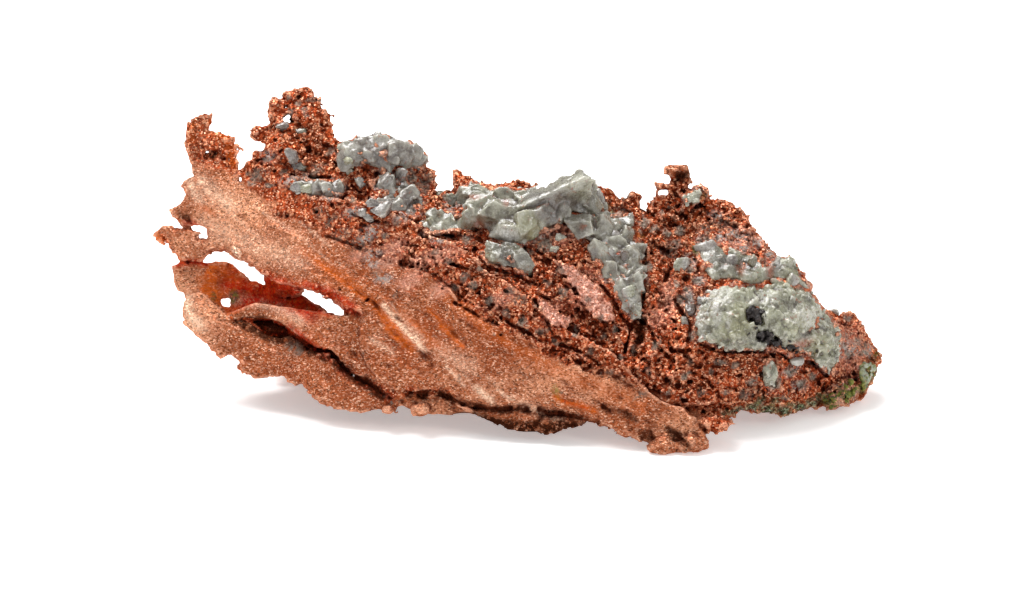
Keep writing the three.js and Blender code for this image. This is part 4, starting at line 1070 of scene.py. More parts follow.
# Metal joining two leaves behind a groove: outline, set back, thickness.
FILLS = [
    ([(-27.62, 15.37), (-25.64, 14.71), (-23.67, 13.73), (-21.7, 12.41), (-19.73, 11.26), (-17.42, 10.44), (-16.11, 9.45), (-17.75, 8.47), (-20.38, 8.47), (-22.68, 9.78), (-25.32, 11.42), (-27.29, 13.07)], 0.9, 1.6),
    ([(-18.74, 11.1), (-16.11, 11.1), (-13.15, 10.93), (-12.16, 10.11), (-12.82, 8.96), (-15.45, 8.79), (-18.08, 9.12)], 1.1, 1.8),
    ([(-42.08, 30.16), (-40.44, 30.49), (-38.14, 29.51), (-35.84, 28.85), (-35.18, 27.21), (-35.51, 25.56), (-37.48, 25.89), (-39.78, 26.22), (-41.42, 26.88)], 0.8, 1.5),
    ([(-40.77, 41.01), (-38.47, 40.85), (-35.84, 39.86), (-35.84, 37.73), (-38.47, 37.73), (-40.77, 38.71)], 0.9, 1.2),
    ([(-30.25, 17.34), (-28.6, 16.68), (-26.96, 15.21), (-26.3, 13.4), (-27.62, 12.74), (-29.26, 14.05), (-30.58, 15.7)], 1.4, 1.6),
    ([(-54.41, 55.15), (-53.59, 55.64), (-52.6, 55.81), (-51.12, 55.64), (-50.96, 53.84), (-51.78, 51.86), (-52.93, 49.89), (-54.41, 49.89), (-54.74, 52.85)], 0.5, 1.3),
]

# Crumbs that close gaps beside the minerals: u, v, radius.
PLUGS = [
    (42.74, 14.38, 0.82),
    (43.07, 12.74, 0.82),
    (42.41, 11.1, 0.66),
    (40.11, 13.73, 0.66),
    (40.44, 11.75, 0.66),
    (41.42, 16.36, 0.66),
    (37.15, 33.45, 0.66),
    (38.47, 32.63, 0.66),
    (39.78, 31.97, 0.66),
    (40.77, 31.48, 0.66),
    (35.84, 33.78, 0.49),
    (43.07, 13.4, 0.66),
    (42.08, 10.11, 0.66),
    (18.9, 21.78, 0.66),
]

# Ramps that carry one leaf into the next: path, half width.
RAMPS = [
    ([(-26.96, 25.56), (-26.96, 22.6), (-26.47, 19.32), (-25.32, 16.36), (-23.67, 13.73), (-21.37, 11.59), (-19.73, 10.44)], 1.81),
]

# Dark green crusts: u, v, half width, half height, turn, strength.
TEALS = [
    (36.16, 7.32, 1.32, 0.82, 4, 1.0),
    (38.47, 7.64, 1.32, 0.99, 4, 1.0),
    (41.1, 7.48, 1.48, 0.99, 2, 1.0),
    (43.73, 7.32, 1.64, 0.99, -8, 1.0),
    (46.36, 7.97, 1.48, 0.82, -8, 1.0),
    (34.19, 6.99, 0.99, 0.66, 0, 0.7),
    (48.33, 8.63, 1.15, 0.82, 0, 0.8),
    (42.25, 9.12, 0.99, 0.66, 0, 0.7),
    (39.78, 9.29, 0.82, 0.66, 0, 0.6),
    (49.64, 9.78, 0.82, 0.66, 0, 0.5),
]

# Outline of the crumbly mass and its minerals seen square on to the face,
MASS = [
    (-44.71, 48.58),
    (-44.05, 49.56),
    (-43.56, 50.22),
    (-42.08, 50.22),
    (-41.42, 50.88),
    (-43.07, 51.7),
    (-44.22, 52.19),
    (-44.55, 52.85),
    (-43.89, 53.67),
    (-43.07, 54.16),
    (-42.25, 54.33),
    (-41.42, 54.66),
    (-41.75, 55.32),
    (-41.26, 55.97),
    (-40.93, 56.79),
    (-40.93, 57.95),
    (-40.44, 58.6),
    (-39.62, 58.77),
    (-38.63, 58.6),
    (-38.3, 59.42),
    (-37.81, 60.08),
    (-36.82, 60.08),
    (-35.84, 60.41),
    (-34.52, 60.08),
    (-33.86, 59.59),
    (-33.37, 59.1),
    (-32.71, 58.6),
    (-32.55, 57.62),
    (-31.89, 57.29),
    (-31.4, 56.47),
    (-30.74, 55.48),
    (-30.74, 54.16),
    (-30.58, 53.34),
    (-30.41, 52.36),
    (-29.75, 52.03),
    (-29.26, 51.53),
    (-28.44, 51.86),
    (-27.45, 51.7),
    (-26.79, 52.19),
    (-25.97, 52.03),
    (-24.66, 52.19),
    (-24.0, 52.52),
    (-22.68, 52.68),
    (-21.86, 52.52),
    (-21.04, 52.03),
    (-20.05, 51.7),
    (-19.07, 51.21),
    (-18.08, 51.37),
    (-17.26, 51.04),
    (-16.44, 50.38),
    (-15.78, 49.73),
    (-15.29, 48.9),
    (-15.12, 47.75),
    (-14.3, 47.42),
    (-13.64, 46.77),
    (-13.81, 45.95),
    (-13.64, 45.12),
    (-12.99, 44.63),
    (-13.15, 43.97),
    (-13.81, 43.15),
    (-13.32, 42.66),
    (-12.82, 43.32),
    (-12.33, 43.64),
    (-11.51, 43.64),
    (-10.85, 43.64),
    (-11.01, 44.96),
    (-10.52, 45.78),
    (-10.68, 46.77),
    (-10.03, 47.1),
    (-9.37, 46.44),
    (-8.55, 45.95),
    (-7.4, 45.29),
    (-6.58, 44.96),
    (-4.6, 44.79),
    (-3.45, 44.63),
    (-2.47, 44.96),
    (-1.48, 44.79),
    (-0.99, 45.29),
    (0.0, 45.29),
    (0.82, 44.96),
    (1.97, 44.79),
    (2.63, 44.14),
    (2.79, 43.15),
    (3.95, 43.64),
    (5.26, 44.14),
    (6.9, 44.96),
    (8.55, 45.62),
    (9.86, 46.11),
    (11.01, 45.45),
    (11.84, 44.79),
    (13.15, 44.63),
    (14.14, 44.14),
    (14.96, 43.64),
    (15.62, 43.81),
    (16.11, 43.15),
    (16.77, 42.16),
    (17.59, 42.33),
    (17.92, 42.99),
    (18.74, 43.15),
    (19.56, 42.82),
    (20.05, 42.33),
    (20.22, 41.01),
    (20.88, 40.68),
    (21.37, 41.34),
    (22.03, 42.16),
    (22.52, 42.82),
    (23.67, 42.66),
    (24.99, 43.15),
    (26.63, 43.64),
    (28.27, 44.47),
    (29.1, 44.63),
    (29.92, 44.3),
    (30.74, 43.97),
    (31.4, 43.15),
    (31.89, 42.33),
    (32.88, 42.33),
    (34.19, 42.16),
    (35.01, 41.51),
    (35.67, 41.18),
    (36.49, 41.01),
    (37.15, 40.52),
    (37.81, 39.7),
    (38.47, 38.38),
    (38.96, 37.4),
    (39.45, 36.58),
    (40.27, 36.25),
    (40.77, 35.42),
    (41.1, 34.44),
    (42.08, 33.95),
    (42.41, 33.12),
    (43.07, 32.47),
    (43.89, 32.63),
    (44.88, 32.63),
    (45.37, 31.81),
    (46.03, 30.82),
    (46.85, 29.84),
    (47.34, 28.85),
    (48.0, 28.03),
    (48.0, 27.04),
    (48.82, 26.22),
    (49.64, 25.23),
    (50.3, 24.41),
    (51.29, 24.41),
    (52.27, 23.92),
    (52.93, 23.26),
    (53.75, 23.42),
    (54.58, 23.75),
    (55.73, 23.1),
    (56.22, 22.27),
    (56.88, 21.12),
    (57.37, 20.14),
    (58.03, 20.14),
    (58.52, 18.99),
    (59.18, 18.16),
    (59.67, 17.34),
    (60.0, 16.03),
    (59.51, 15.04),
    (59.34, 14.05),
    (58.85, 13.4),
    (58.03, 12.58),
    (57.53, 11.42),
    (57.21, 10.44),
    (57.04, 9.45),
    (56.22, 8.96),
    (54.58, 8.79),
    (52.93, 8.3),
    (52.11, 7.97),
    (51.29, 7.81),
    (49.64, 7.48),
    (48.0, 7.48),
    (46.85, 7.15),
    (45.53, 6.66),
    (44.71, 6.33),
    (43.56, 6.16),
    (42.74, 6.49),
    (41.42, 6.82),
    (40.6, 6.82),
    (39.45, 6.49),
    (38.14, 6.99),
    (36.49, 7.15),
    (35.67, 6.49),
    (35.01, 5.84),
    (34.52, 5.01),
    (33.53, 4.19),
    (32.38, 3.7),
    (31.56, 3.86),
    (30.41, 3.53),
    (28.27, 4.52),
    (23.34, 4.52),
    (18.41, 5.01),
    (13.48, 6.66),
    (6.9, 7.48),
    (0.33, 8.3),
    (-6.25, 9.95),
    (-12.82, 11.59),
    (-16.93, 12.74),
    (-20.22, 15.7),
    (-23.51, 20.63),
    (-25.15, 24.74),
    (-27.62, 29.67),
    (-31.73, 33.78),
    (-35.84, 37.89),
    (-39.95, 41.18),
    (-42.74, 43.64),
    (-44.38, 46.11),
]

# and of the hook on its top edge.
HOOK = [
    (28.27, 43.64),
    (28.6, 45.29),
    (28.27, 46.44),
    (28.27, 47.26),
    (27.78, 47.75),
    (26.63, 47.92),
    (25.32, 47.75),
    (24.16, 47.59),
    (23.67, 47.1),
    (23.84, 46.44),
    (24.66, 46.11),
    (25.15, 45.45),
    (25.32, 44.63),
    (24.66, 44.47),
    (24.16, 45.12),
    (23.34, 45.29),
    (22.52, 44.96),
    (22.36, 44.3),
    (22.85, 43.64),
    (22.52, 42.82),
    (22.03, 41.51),
    (23.34, 40.36),
    (26.63, 40.36),
    (29.1, 42.0),
]

# minerals grown through with copper
MIXED = [
    "prehnite_crown", "prehnite_crown_lower", "prehnite_vein", "prehnite_tower_crystals", "prehnite_shelf",
    "prehnite_back_upper", "prehnite_back_lower", "prehnite_back_left",
]

# ---------------------------------------------------------------- fields
def smooth(a, b, x):
    t = np.clip((x - a) / (b - a), 0, 1)
    return t * t * (3 - 2 * t)


def path_distance(path, U, V):
    best = np.full(U.shape, 1e9, np.float32)
    for (ax, ay), (bx, by) in zip(path[:-1], path[1:]):
        dx, dy = bx - ax, by - ay
        t = np.clip(((U - ax) * dx + (V - ay) * dy) / max(dx * dx + dy * dy, 1e-9), 0, 1)
        best = np.minimum(best, np.hypot(U - ax - t * dx, V - ay - t * dy))
    return best


def inside_distance(outline, U, V):
    """Distance in from the outline, negative outside."""
    d = path_distance(list(outline) + [outline[0]], U, V)
    inside = np.zeros(U.shape, bool)
    for (ax, ay), (bx, by) in zip(outline, outline[1:] + outline[:1]):
        if ay == by:
            continue
        cross = ((ay > V) != (by > V)) & (U < (bx - ax) * (V - ay) / (by - ay) + ax)
        inside ^= cross
    return np.where(inside, d, -d)


def spot(U, V, u, v, a, b, turn):
    """Distance in units of the ellipse's own size."""
    c, s = math.cos(math.radians(turn)), math.sin(math.radians(turn))
    x, y = (U - u) * c + (V - v) * s, -(U - u) * s + (V - v) * c
    return np.sqrt((x / a) ** 2 + (y / b) ** 2)


class Grid:
    """A dense block of voxels in the row frame, mm."""

    def __init__(self, lo, hi, h):
        self.h = h
        self.i0 = np.floor(np.array(lo) / h).astype(int)
        self.n = np.ceil(np.array(hi) / h).astype(int) - self.i0 + 1
        self.x, self.y, self.z = [
            ((self.i0[k] + np.arange(self.n[k])) * h).astype(np.float32) for k in range(3)
        ]

    def solid(self, v, t, half):
        g = openvdb.FloatGrid.createLevelSetFromPolygons(
            v.astype(np.float32), triangles=t, transform=openvdb.createLinearTransform(self.h), halfWidth=half
        )
        a = np.empty(tuple(self.n), np.float32)
        g.copyToArray(a, ijk=tuple(int(i) for i in self.i0))
        return a

    def weights(self, x, s):
        """For each coordinate the first of its four lattice points, their weights, and the lattice's length."""
        q = x / s
        i = np.floor(q).astype(int)
        f = q - i
        w = ((1 - f) ** 3, 3 * f**3 - 6 * f**2 + 4, -3 * f**3 + 3 * f**2 + 3 * f + 1, f**3)
        return i - i.min(), [(c / 6).astype(np.float32) for c in w], i.max() - i.min() + 4

    def noise(self, s, seed):
        """Smooth noise with features of about 2 s, spread about 1."""
        axes = [self.weights(q, s) for q in (self.x, self.y, self.z)]
        a = np.random.default_rng(seed).standard_normal([size for _, _, size in axes]).astype(np.float32)
        for axis, (first, w, _) in enumerate(axes):
            shape = [1, 1, 1]
            shape[axis] = -1
            a = sum(np.take(a, first + j, axis) * w[j].reshape(shape) for j in range(4))
        return a * np.float32(3.0)

    def window(self, c, r):
        lo = np.maximum(np.floor((c - r) / self.h).astype(int) - self.i0, 0)
        hi = np.minimum(np.ceil((c + r) / self.h).astype(int) - self.i0 + 1, self.n)
        if (hi <= lo).any():
            return None
        s = tuple(slice(a, b) for a, b in zip(lo, hi))
        return s, self.x[s[0]][:, None, None] - c[0], self.y[s[1]][None, :, None] - c[1], self.z[s[2]][None, None, :] - c[2]

    def blobs(self, f, centres, radii, rng, stretch=1.0, cut=False, k=0.0):
        """Joins (or cuts) rounded grains."""
        for c, r in zip(centres, radii):
            m = rng.standard_normal((3, 3))
            m, _ = np.linalg.qr(m)
            ax = r * np.array([1.0, rng.uniform(0.75, 1.0), rng.uniform(1.0, max(stretch, 1.0001))])
            got = self.window(c, ax.max() + self.h)
            if got is None:
                continue
            s, dx, dy, dz = got
            q = 0
            for j in range(3):
                q = q + ((m[j, 0] * dx + m[j, 1] * dy + m[j, 2] * dz) / ax[j]) ** 2
            d = (np.sqrt(q) - 1) * r
            f[s] = np.maximum(f[s], -d) if cut else np.minimum(f[s], d)

    def shards(self, f, centres, halves, frames, rng, planes=8, loose=0.4, melt=0.3):
        """Joins irregular faceted crystals; halves and frames give their overall shape."""
        for c, a, m in zip(centres, halves, frames):
            got = self.window(c, np.linalg.norm(a) * 1.05)
            if got is None:
                continue
            s, dx, dy, dz = got
            x, y, z = [(m[j, 0] * dx + m[j, 1] * dy + m[j, 2] * dz) / a[j] for j in range(3)]
            n = np.concatenate([np.eye(3), -np.eye(3)]) + loose * 0.5 * rng.standard_normal((6, 3))
            n = np.concatenate([n, rng.standard_normal((planes, 3))])
            n /= np.linalg.norm(n, axis=1, keepdims=True)
            d = np.concatenate([rng.uniform(0.8, 1.05, 6), rng.uniform(0.85, 1.2, planes)])
            out = -9.0
            for k in range(len(n)):
                out = np.maximum(out, n[k, 0] * x + n[k, 1] * y + n[k, 2] * z - d[k])
            out = out * a.min()
            h = np.maximum(melt - np.abs(f[s] - out), 0)
            f[s] = np.minimum(f[s], out) - h * h / (4 * melt)

    def blur(self, a, r):
        """Two box blurs of radius r voxels."""
        for _ in range(2):
            for k in range(3):
                a = np.moveaxis(a, k, 0)
                c = np.cumsum(np.concatenate([np.repeat(a[:1], r + 1, 0), a, np.repeat(a[-1:], r, 0)]), 0, dtype=np.float32)
                a = np.moveaxis((c[2 * r + 1 :] - c[: -2 * r - 1]) / (2 * r + 1), 0, k)
        return a

    def at(self, a, p):
        q = p / self.h - self.i0
        i = np.clip(np.floor(q).astype(int), 0, self.n - 2)
        f = np.clip(q - i, 0, 1).astype(np.float32)
        out = 0
        for j in range(8):
            o = np.array([j & 1, j >> 1 & 1, j >> 2])
            w = np.prod(np.where(o, f, 1 - f), 1)
            k = i + o
            out = out + w * a[k[:, 0], k[:, 1], k[:, 2]]
        return out

    def skin(self, f, adapt=0.0):
        """The surface of a field as points and triangles."""
        g = openvdb.FloatGrid(3 * self.h)
        g.transform = openvdb.createLinearTransform(self.h)
        f = np.clip(f, -3 * self.h, 3 * self.h).astype(np.float32)
        for k in range(3):
            e = np.moveaxis(f, k, 0)
            e[0] = e[-1] = 3 * self.h
        g.copyFromArray(np.ascontiguousarray(f), ijk=tuple(int(i) for i in self.i0))
        p, t, q = g.convertToPolygons(0.0, adapt)
        p = np.array(p, np.float64)
        q = np.array(q, np.int64).reshape(-1, 4)
        t = np.array(t, np.int64).reshape(-1, 3)
        d1 = np.linalg.norm(p[q[:, 0]] - p[q[:, 2]], axis=1) <= np.linalg.norm(p[q[:, 1]] - p[q[:, 3]], axis=1)
        a = np.where(d1[:, None], q[:, [0, 1, 2]], q[:, [0, 1, 3]])
        b = np.where(d1[:, None], q[:, [0, 2, 3]], q[:, [1, 2, 3]])
        tri = np.concatenate([t, a, b])[:, ::-1]
        return p, tri


def keep_big(p, tri, least=400):
    """Drops shells with few triangles."""
    lab = np.arange(len(p))
    e = np.concatenate([tri[:, [0, 1]], tri[:, [1, 2]], tri[:, [2, 0]]])
    while True:
        m = np.minimum(lab[e[:, 0]], lab[e[:, 1]])
        new = lab.copy()
        np.minimum.at(new, e[:, 0], m)
        np.minimum.at(new, e[:, 1], m)
        new = new[new]
        new = new[new]
        if (new == lab).all():
            break
        lab = new
    root = lab[tri[:, 0]]
    count = np.bincount(root, minlength=len(p))
    tri = tri[count[root] >= least]
    used = np.zeros(len(p), bool)
    used[tri] = True
    index = np.cumsum(used) - 1
    return p[used], index[tri]


def solid_arrays(node):
    me = NODES[node].data
    me.calc_loop_triangles()
    v = np.empty(len(me.vertices) * 3, np.float32)
    me.vertices.foreach_get("co", v)
    v = v.reshape(-1, 3) * MM
    t = np.empty(len(me.loop_triangles) * 3, np.int32)
    me.loop_triangles.foreach_get("vertices", t)
    _, i, inv = np.unique(np.round(v * 1000).astype(np.int64), axis=0, return_index=True, return_inverse=True)
    return v[i], inv.reshape(-1)[t.reshape(-1, 3)].astype(np.uint32)


def make_mesh(name, p, tri, floats=(), colours=(), flat=False):
    """A mesh object from points in mm, with point attributes."""
    me = bpy.data.meshes.new(name)
    me.vertices.add(len(p))
    me.vertices.foreach_set("co", (np.asarray(p, np.float32) / MM).ravel())
    me.loops.add(len(tri) * 3)
    me.loops.foreach_set("vertex_index", np.asarray(tri, np.int32).ravel())
    me.polygons.add(len(tri))
    me.polygons.foreach_set("loop_start", np.arange(len(tri), dtype=np.int32) * 3)
    me.polygons.foreach_set("use_smooth", np.full(len(tri), not flat))
    me.update(calc_edges=True)
    for k, a in floats:
        me.attributes.new(k, "FLOAT", "POINT").data.foreach_set("value", np.asarray(a, np.float32))
    for k, a in colours:
        me.attributes.new(k, "FLOAT_COLOR", "POINT").data.foreach_set("color", np.asarray(a, np.float32).ravel())
    o = bpy.data.objects.new(name, me)
    bpy.context.scene.collection.objects.link(o)
    return o


def finish_piece(o, material, nodes=()):
    o.data.materials.append(material)
    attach(o, "root")
    if nodes:
        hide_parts(*nodes)
    return o


# ---------------------------------------------------------------- maps in the face plane
HU = 0.15
U0, V0 = -62.0, -3.0
NU, NV = int(124 / HU), int(68 / HU)
MU, MV = np.meshgrid(U0 + HU * np.arange(NU), V0 + HU * np.arange(NV), indexing="ij")
MU, MV = MU.astype(np.float32), MV.astype(np.float32)


def flat_noise(s, seed, su=1.0, sv=1.0, turn=0.0):
    c, k = math.cos(math.radians(turn)), math.sin(math.radians(turn))
    x, y = (MU * c + MV * k) / (s * su) + 200, (-MU * k + MV * c) / (s * sv) + 200
    xi, yi = np.floor(x).astype(int), np.floor(y).astype(int)
    fx, fy = x - xi, y - yi
    fx, fy = fx * fx * (3 - 2 * fx), fy * fy * (3 - 2 * fy)
    r = np.random.default_rng(seed).standard_normal((1024, 1024)).astype(np.float32)
    g = lambda a, b: r[a % 1024, b % 1024]
    return (
        g(xi, yi) * (1 - fx) * (1 - fy) + g(xi + 1, yi) * fx * (1 - fy) + g(xi, yi + 1) * (1 - fx) * fy + g(xi + 1, yi + 1) * fx * fy
    )


def sample(m, u, v):
    q, r = (u - U0) / HU, (v - V0) / HU
    i = np.clip(q.astype(int), 0, NU - 2)
    j = np.clip(r.astype(int), 0, NV - 2)
    f, g = np.clip(q - i, 0, 1), np.clip(r - j, 0, 1)
    return m[i, j] * (1 - f) * (1 - g) + m[i + 1, j] * f * (1 - g) + m[i, j + 1] * (1 - f) * g + m[i + 1, j + 1] * f * g


IN_UPPER = inside_distance(LEAF_UPPER, MU, MV)
IN_LOWER = inside_distance(LEAF_LOWER, MU, MV)
IN_RIDGE = inside_distance(LEAF_RIDGE, MU, MV)
IN_BACK = inside_distance(LEAF_BACK, MU, MV)
OUTSIDE = np.maximum(np.maximum(np.maximum(IN_UPPER, IN_LOWER), np.maximum(IN_RIDGE, IN_BACK)), inside_distance(MASS, MU, MV))
OUTSIDE = np.maximum(OUTSIDE, inside_distance(HOOK, MU, MV))
for outline, back_, thick in FILLS:
    OUTSIDE = np.maximum(OUTSIDE, inside_distance(outline, MU, MV))
OUTSIDE = (-OUTSIDE - 0.35 + 0.12 * flat_noise(0.45, 14) + 0.12 * flat_noise(1.1, 15)).astype(np.float32)
edge_noise = flat_noise(0.8, 3) * 0.35 + flat_noise(2.2, 4) * 0.5
below = inside_distance(CRUMB_EDGE + [(60.0, -20.0), (-80.0, -20.0), (-80.0, 52.0)], MU, MV)
IN_UPPER = np.minimum(IN_UPPER, below)
SHEET = np.maximum(
    smooth(-0.4, 0.8, IN_UPPER + edge_noise * smooth(-46, -40, MU)),
    smooth(-0.3, 0.3, np.maximum(np.maximum(IN_LOWER, IN_RIDGE), IN_BACK)),
).astype(np.float32)
# the spire at the far left is crumbly at its top
SHEET *= 1 - smooth(46.5, 49.5, MV + edge_noise * 1.5) * smooth(-40, -44, MU)
for outline, k in SMOOTH:
    SHEET = np.maximum(SHEET, k * smooth(-0.3, 0.6, inside_distance(outline, MU, MV) + edge_noise * 0.4))
SHADE = np.zeros_like(MU)
CARVE = np.zeros_like(MU)
for outline, dark, deep, rough in SHADES:
    m = smooth(-0.35, 0.45, inside_distance(outline, MU, MV) + 0.2 * flat_noise(0.7, 8) + 0.2 * flat_noise(1.6, 9))
    SHADE = np.maximum(SHADE, dark * m)
    CARVE = np.maximum(CARVE, deep * m)
    SHEET *= 1 - rough * m
# painted light: the sheet is paler in these zones, where the light falls
PAINTED_LIGHT = np.zeros_like(MU)
for u, v, a, b, turn, k in PALE:
    PAINTED_LIGHT = np.maximum(PAINTED_LIGHT, k * np.exp(-(spot(MU, MV, u, v, a, b, turn) ** 2)))
GREEN = np.zeros_like(MU)
for u, v, a, b, turn, k in GREENS:
    GREEN = np.maximum(GREEN, k * np.exp(-(spot(MU, MV, u, v, a, b, turn) ** 4)))
TEAL = np.zeros_like(MU)
for u, v, a, b, turn, k in TEALS:
    TEAL = np.maximum(TEAL, k * np.exp(-(spot(MU, MV, u, v, a, b, turn) ** 4)))
STAIN = np.zeros((2,) + MU.shape, np.float32)
ragged = 1 + 0.25 * flat_noise(0.35, 12) + 0.25 * flat_noise(0.8, 13)
for u, v, a, b, turn, kind in STAINS:
    k = "gd".index(kind)
    STAIN[k] = np.maximum(STAIN[k], smooth(1.25, 0.85, spot(MU, MV, u, v, a, b, turn) * ragged))

# ---------------------------------------------------------------- copper
H = 0.25
cv, ct = solid_arrays("native_copper")


def joined(names):
    got = [solid_arrays(n) for n in names]
    at = np.cumsum([0] + [len(v) for v, _ in got[:-1]])
    return np.concatenate([v for v, _ in got]), np.concatenate([t + k for (_, t), k in zip(got, at)]).astype(np.uint32)


sv, st = joined([n for n in NODES if n != "native_copper"])
G = Grid(cv.min(0) - 1.5, cv.max(0) + 1.5, H)
FC = G.solid(cv, ct, 8.0)
FM = G.solid(sv, st, 8.0)
F = np.minimum(FC, FM - 0.25)
FX = G.solid(*joined(MIXED), 4.0)
lap("copper solid %s" % (tuple(G.n),))

gy, gz = np.meshgrid(G.y - OY, G.z, indexing="ij")
GU = G.x - OX
GV = gy * SN + gz * CS
GW = (gy * CS - gz * SN).astype(np.float32)
iu = np.clip(((GU - U0) / HU).astype(int), 0, NU - 1)
jv = np.clip(((GV - V0) / HU).astype(int), 0, NV - 1)


def spread(m):
    """A face-plane map at every voxel."""
    return m.astype(np.float32)[iu][:, jv]


def first_depth(f):
    """Depth of the nearest solid behind each point of the face plane."""
    hd = 0.3
    nu, nv = int(124 / hd) + 2, int(68 / hd) + 2
    d = np.full((nu, nv), 99.0, np.float32)
    a, b, c = np.nonzero((f < 0) & (f > -3 * H))
    u, v, w = GU[a], GV[b, c], GW[b, c] + f[a, b, c]
    i, j = ((u - U0) / hd).astype(int), ((v - V0) / hd).astype(int)
    for k in range(4):
        np.minimum.at(d, (i + (k & 1), j + (k >> 1)), w)
    ii = np.clip(((MU - U0) / hd + 0.5).astype(int), 0, nu - 1)
    jj = np.clip(((MV - V0) / hd + 0.5).astype(int), 0, nv - 1)
    return d[ii, jj]


DEPTH = first_depth(F)


def soft(m, r):
    """A face-plane map blurred over its filled part."""
    w = (m < 60).astype(np.float32)
    a, b = np.where(m < 60, m, 0).astype(np.float32), w
    for _ in range(3):
        for k in (0, 1):
            out = []
            for q in (a, b):
                q = np.moveaxis(q, k, 0)
                c = np.cumsum(np.concatenate([np.repeat(q[:1], r + 1, 0), q, np.repeat(q[-1:], r, 0)]), 0, dtype=np.float64)
                out.append(np.moveaxis((c[2 * r + 1 :] - c[: -2 * r - 1]) / (2 * r + 1), 0, k))
            a, b = out
    return (a / np.maximum(b, 1e-3)).astype(np.float32)


EVEN = soft(DEPTH, 5)
for u, v, r in PLUGS:
    d = r - np.hypot(MU - u, MV - v)
    P = spread(EVEN + 0.15)
    F = np.minimum(F, np.maximum(np.maximum(-spread(d), P - GW[None]), GW[None] - P - 2.0))
# the crumb runs up to the sides of the pale mineral
P = spread(EVEN + 0.30)
F = np.minimum(F, np.maximum(np.maximum(P - GW[None], GW[None] - P - 2.0), np.maximum(FM - 1.1, spread(OUTSIDE))))
F0 = F.copy()
Q = GW[None] - spread(DEPTH)
S3 = np.maximum(spread(SHEET) * smooth(6.5, 4.5, Q), spread(smooth(-1.4, -0.8, IN_BACK)) * smooth(14, 12, Q))
lap("face maps")

# thin tips keep their metal, thick parts crumble
thin = smooth(0.12, 0.42, G.blur(F, 4) - F)
near = smooth(1.2, 0.3, FM)
under = smooth(0.25, -0.25, FM)
n24, n13 = G.noise(2.4, 1), G.noise(1.3, 2)
e = 0.20 + 0.22 * n24 + 0.10 * (1 - np.abs(n13))
del n24
e += 0.9 * np.maximum(0, G.noise(0.8, 4) - 1.65)
e += 0.26 * (1 - np.abs(G.noise(0.52, 3)))
e += 0.30 * (1 - np.abs(G.noise(0.31, 5)))
e += spread(0.30 * flat_noise(1.5, 71, 3.0, 1.0, -24) + 0.15 * flat_noise(0.7, 72, 2.5, 1.0, -24)) * smooth(5, 3, np.abs(Q))
e = np.maximum(e, 0.08)
e += 0.55 * np.maximum(0, G.noise(2.9, 11) - 0.1) * smooth(4.0, 9.0, Q) * smooth(1.0, 2.0, FM)
e = (e - 0.36 * thin) * (1 - 0.35 * thin) * (1 - 0.55 * near)
e += under
e *= 1 - S3
lap("crumb")
n08 = G.noise(0.6, 6)
rim = smooth(1.5, 0.2, spread(np.abs(np.maximum(np.maximum(IN_UPPER, IN_LOWER), np.maximum(IN_RIDGE, IN_BACK)))))
e += S3 * (0.04 * n13 + 0.025 * n08 + rim * (0.16 * n13 + 0.14 * n08)) * (1 - 0.7 * thin)
F += e
del e, n08, n13
# copper crumbs reach over the edges of the pale mineral and through its looser parts
reach = np.maximum(smooth(0.35, 0.0, FX), smooth(1.5, 0.4, FC)) * smooth(0.15, 0.85, G.noise(0.95, 8))
F = np.minimum(F, FM + 0.95 - 1.95 * reach + 0.34 * (1 - np.abs(G.noise(0.45, 9))))
del reach, FX
F += spread(CARVE) * smooth(4, 2, np.abs(Q)) * (0.7 + 0.4 * G.noise(0.8, 7))
melt = np.zeros_like(MU)
for u, v, r in MELT:
    melt = np.maximum(melt, smooth(r * 1.3, r * 0.5, np.hypot(MU - u, MV - v)))
F += np.minimum(G.blur(F, 5) - F, 0) * spread(melt) * smooth(5, 3, np.abs(Q))
lap("noise")

# folds and grooves of the sheet
lift = np.zeros_like(MU)
for path, half, height in FOLDS:
    lift += height * np.exp(-((path_distance(path, MU, MV) / half) ** 2))
lift += 0.26 * flat_noise(2.2, 21, 4.0, 1.0, -33) + 0.13 * flat_noise(0.9, 22, 4.0, 1.0, -33) + 0.07 * flat_noise(0.5, 23, 2.0, 1.0, -33)
F -= spread(lift) * smooth(3.0, 1.0, np.abs(Q)) * S3 * (1 - 0.8 * thin)

# pale flat plates
PLATE = np.zeros_like(MU)
for outline in PLATES:
    d = inside_distance(outline, MU, MV) + 0.25 * flat_noise(0.5, 33)
    PLATE = np.maximum(PLATE, smooth(-0.1, 0.4, d))
    c = np.mean(outline, 0)
    m = d > 0
    lw = np.stack([np.ones(m.sum()), MU[m] - c[0], MV[m] - c[1]], 1)
    k, *_ = np.linalg.lstsq(lw, np.minimum(DEPTH[m], 60), rcond=None)
    plane = k[0] - 0.5 + k[1] * (MU - c[0]) + k[2] * (MV - c[1]) + 0.07 * flat_noise(1.2, 31) + 0.08 * flat_noise(0.5, 32)
    P = spread(plane)
    F = np.minimum(F, np.maximum(np.maximum(-spread(d), P - GW[None]), GW[None] - P - 1.1))
lap("plates")

# loose grains, pores and pits of the crumb
# the horn at the upper left is crumbly too, though it is part of the leaf
HORN = (smooth(46.6, 48.4, MV + 0.4 * flat_noise(1.0, 81)) * smooth(-43.8, -45.2, MU)).astype(np.float32)
cand = np.argwhere((np.abs(F) < H * 0.6) & ((S3 < 0.5) | (spread(HORN) > 0.5)) & (FM > 0.3))
grad = np.stack([np.gradient(F, axis=k)[tuple(cand.T)] for k in range(3)], 1)
grad /= np.linalg.norm(grad, axis=1, keepdims=True) + 1e-6


def scatter(n, rlo, rhi, power, sink, seed):
    r0 = np.random.default_rng(seed)
    pick = r0.integers(0, len(cand), n)
    r = rlo + (rhi - rlo) * r0.random(n) ** power
    c = (cand[pick] + G.i0) * H - grad[pick] * (r * sink)[:, None] + r0.uniform(-0.15, 0.15, (n, 3))
    return c, r, r0


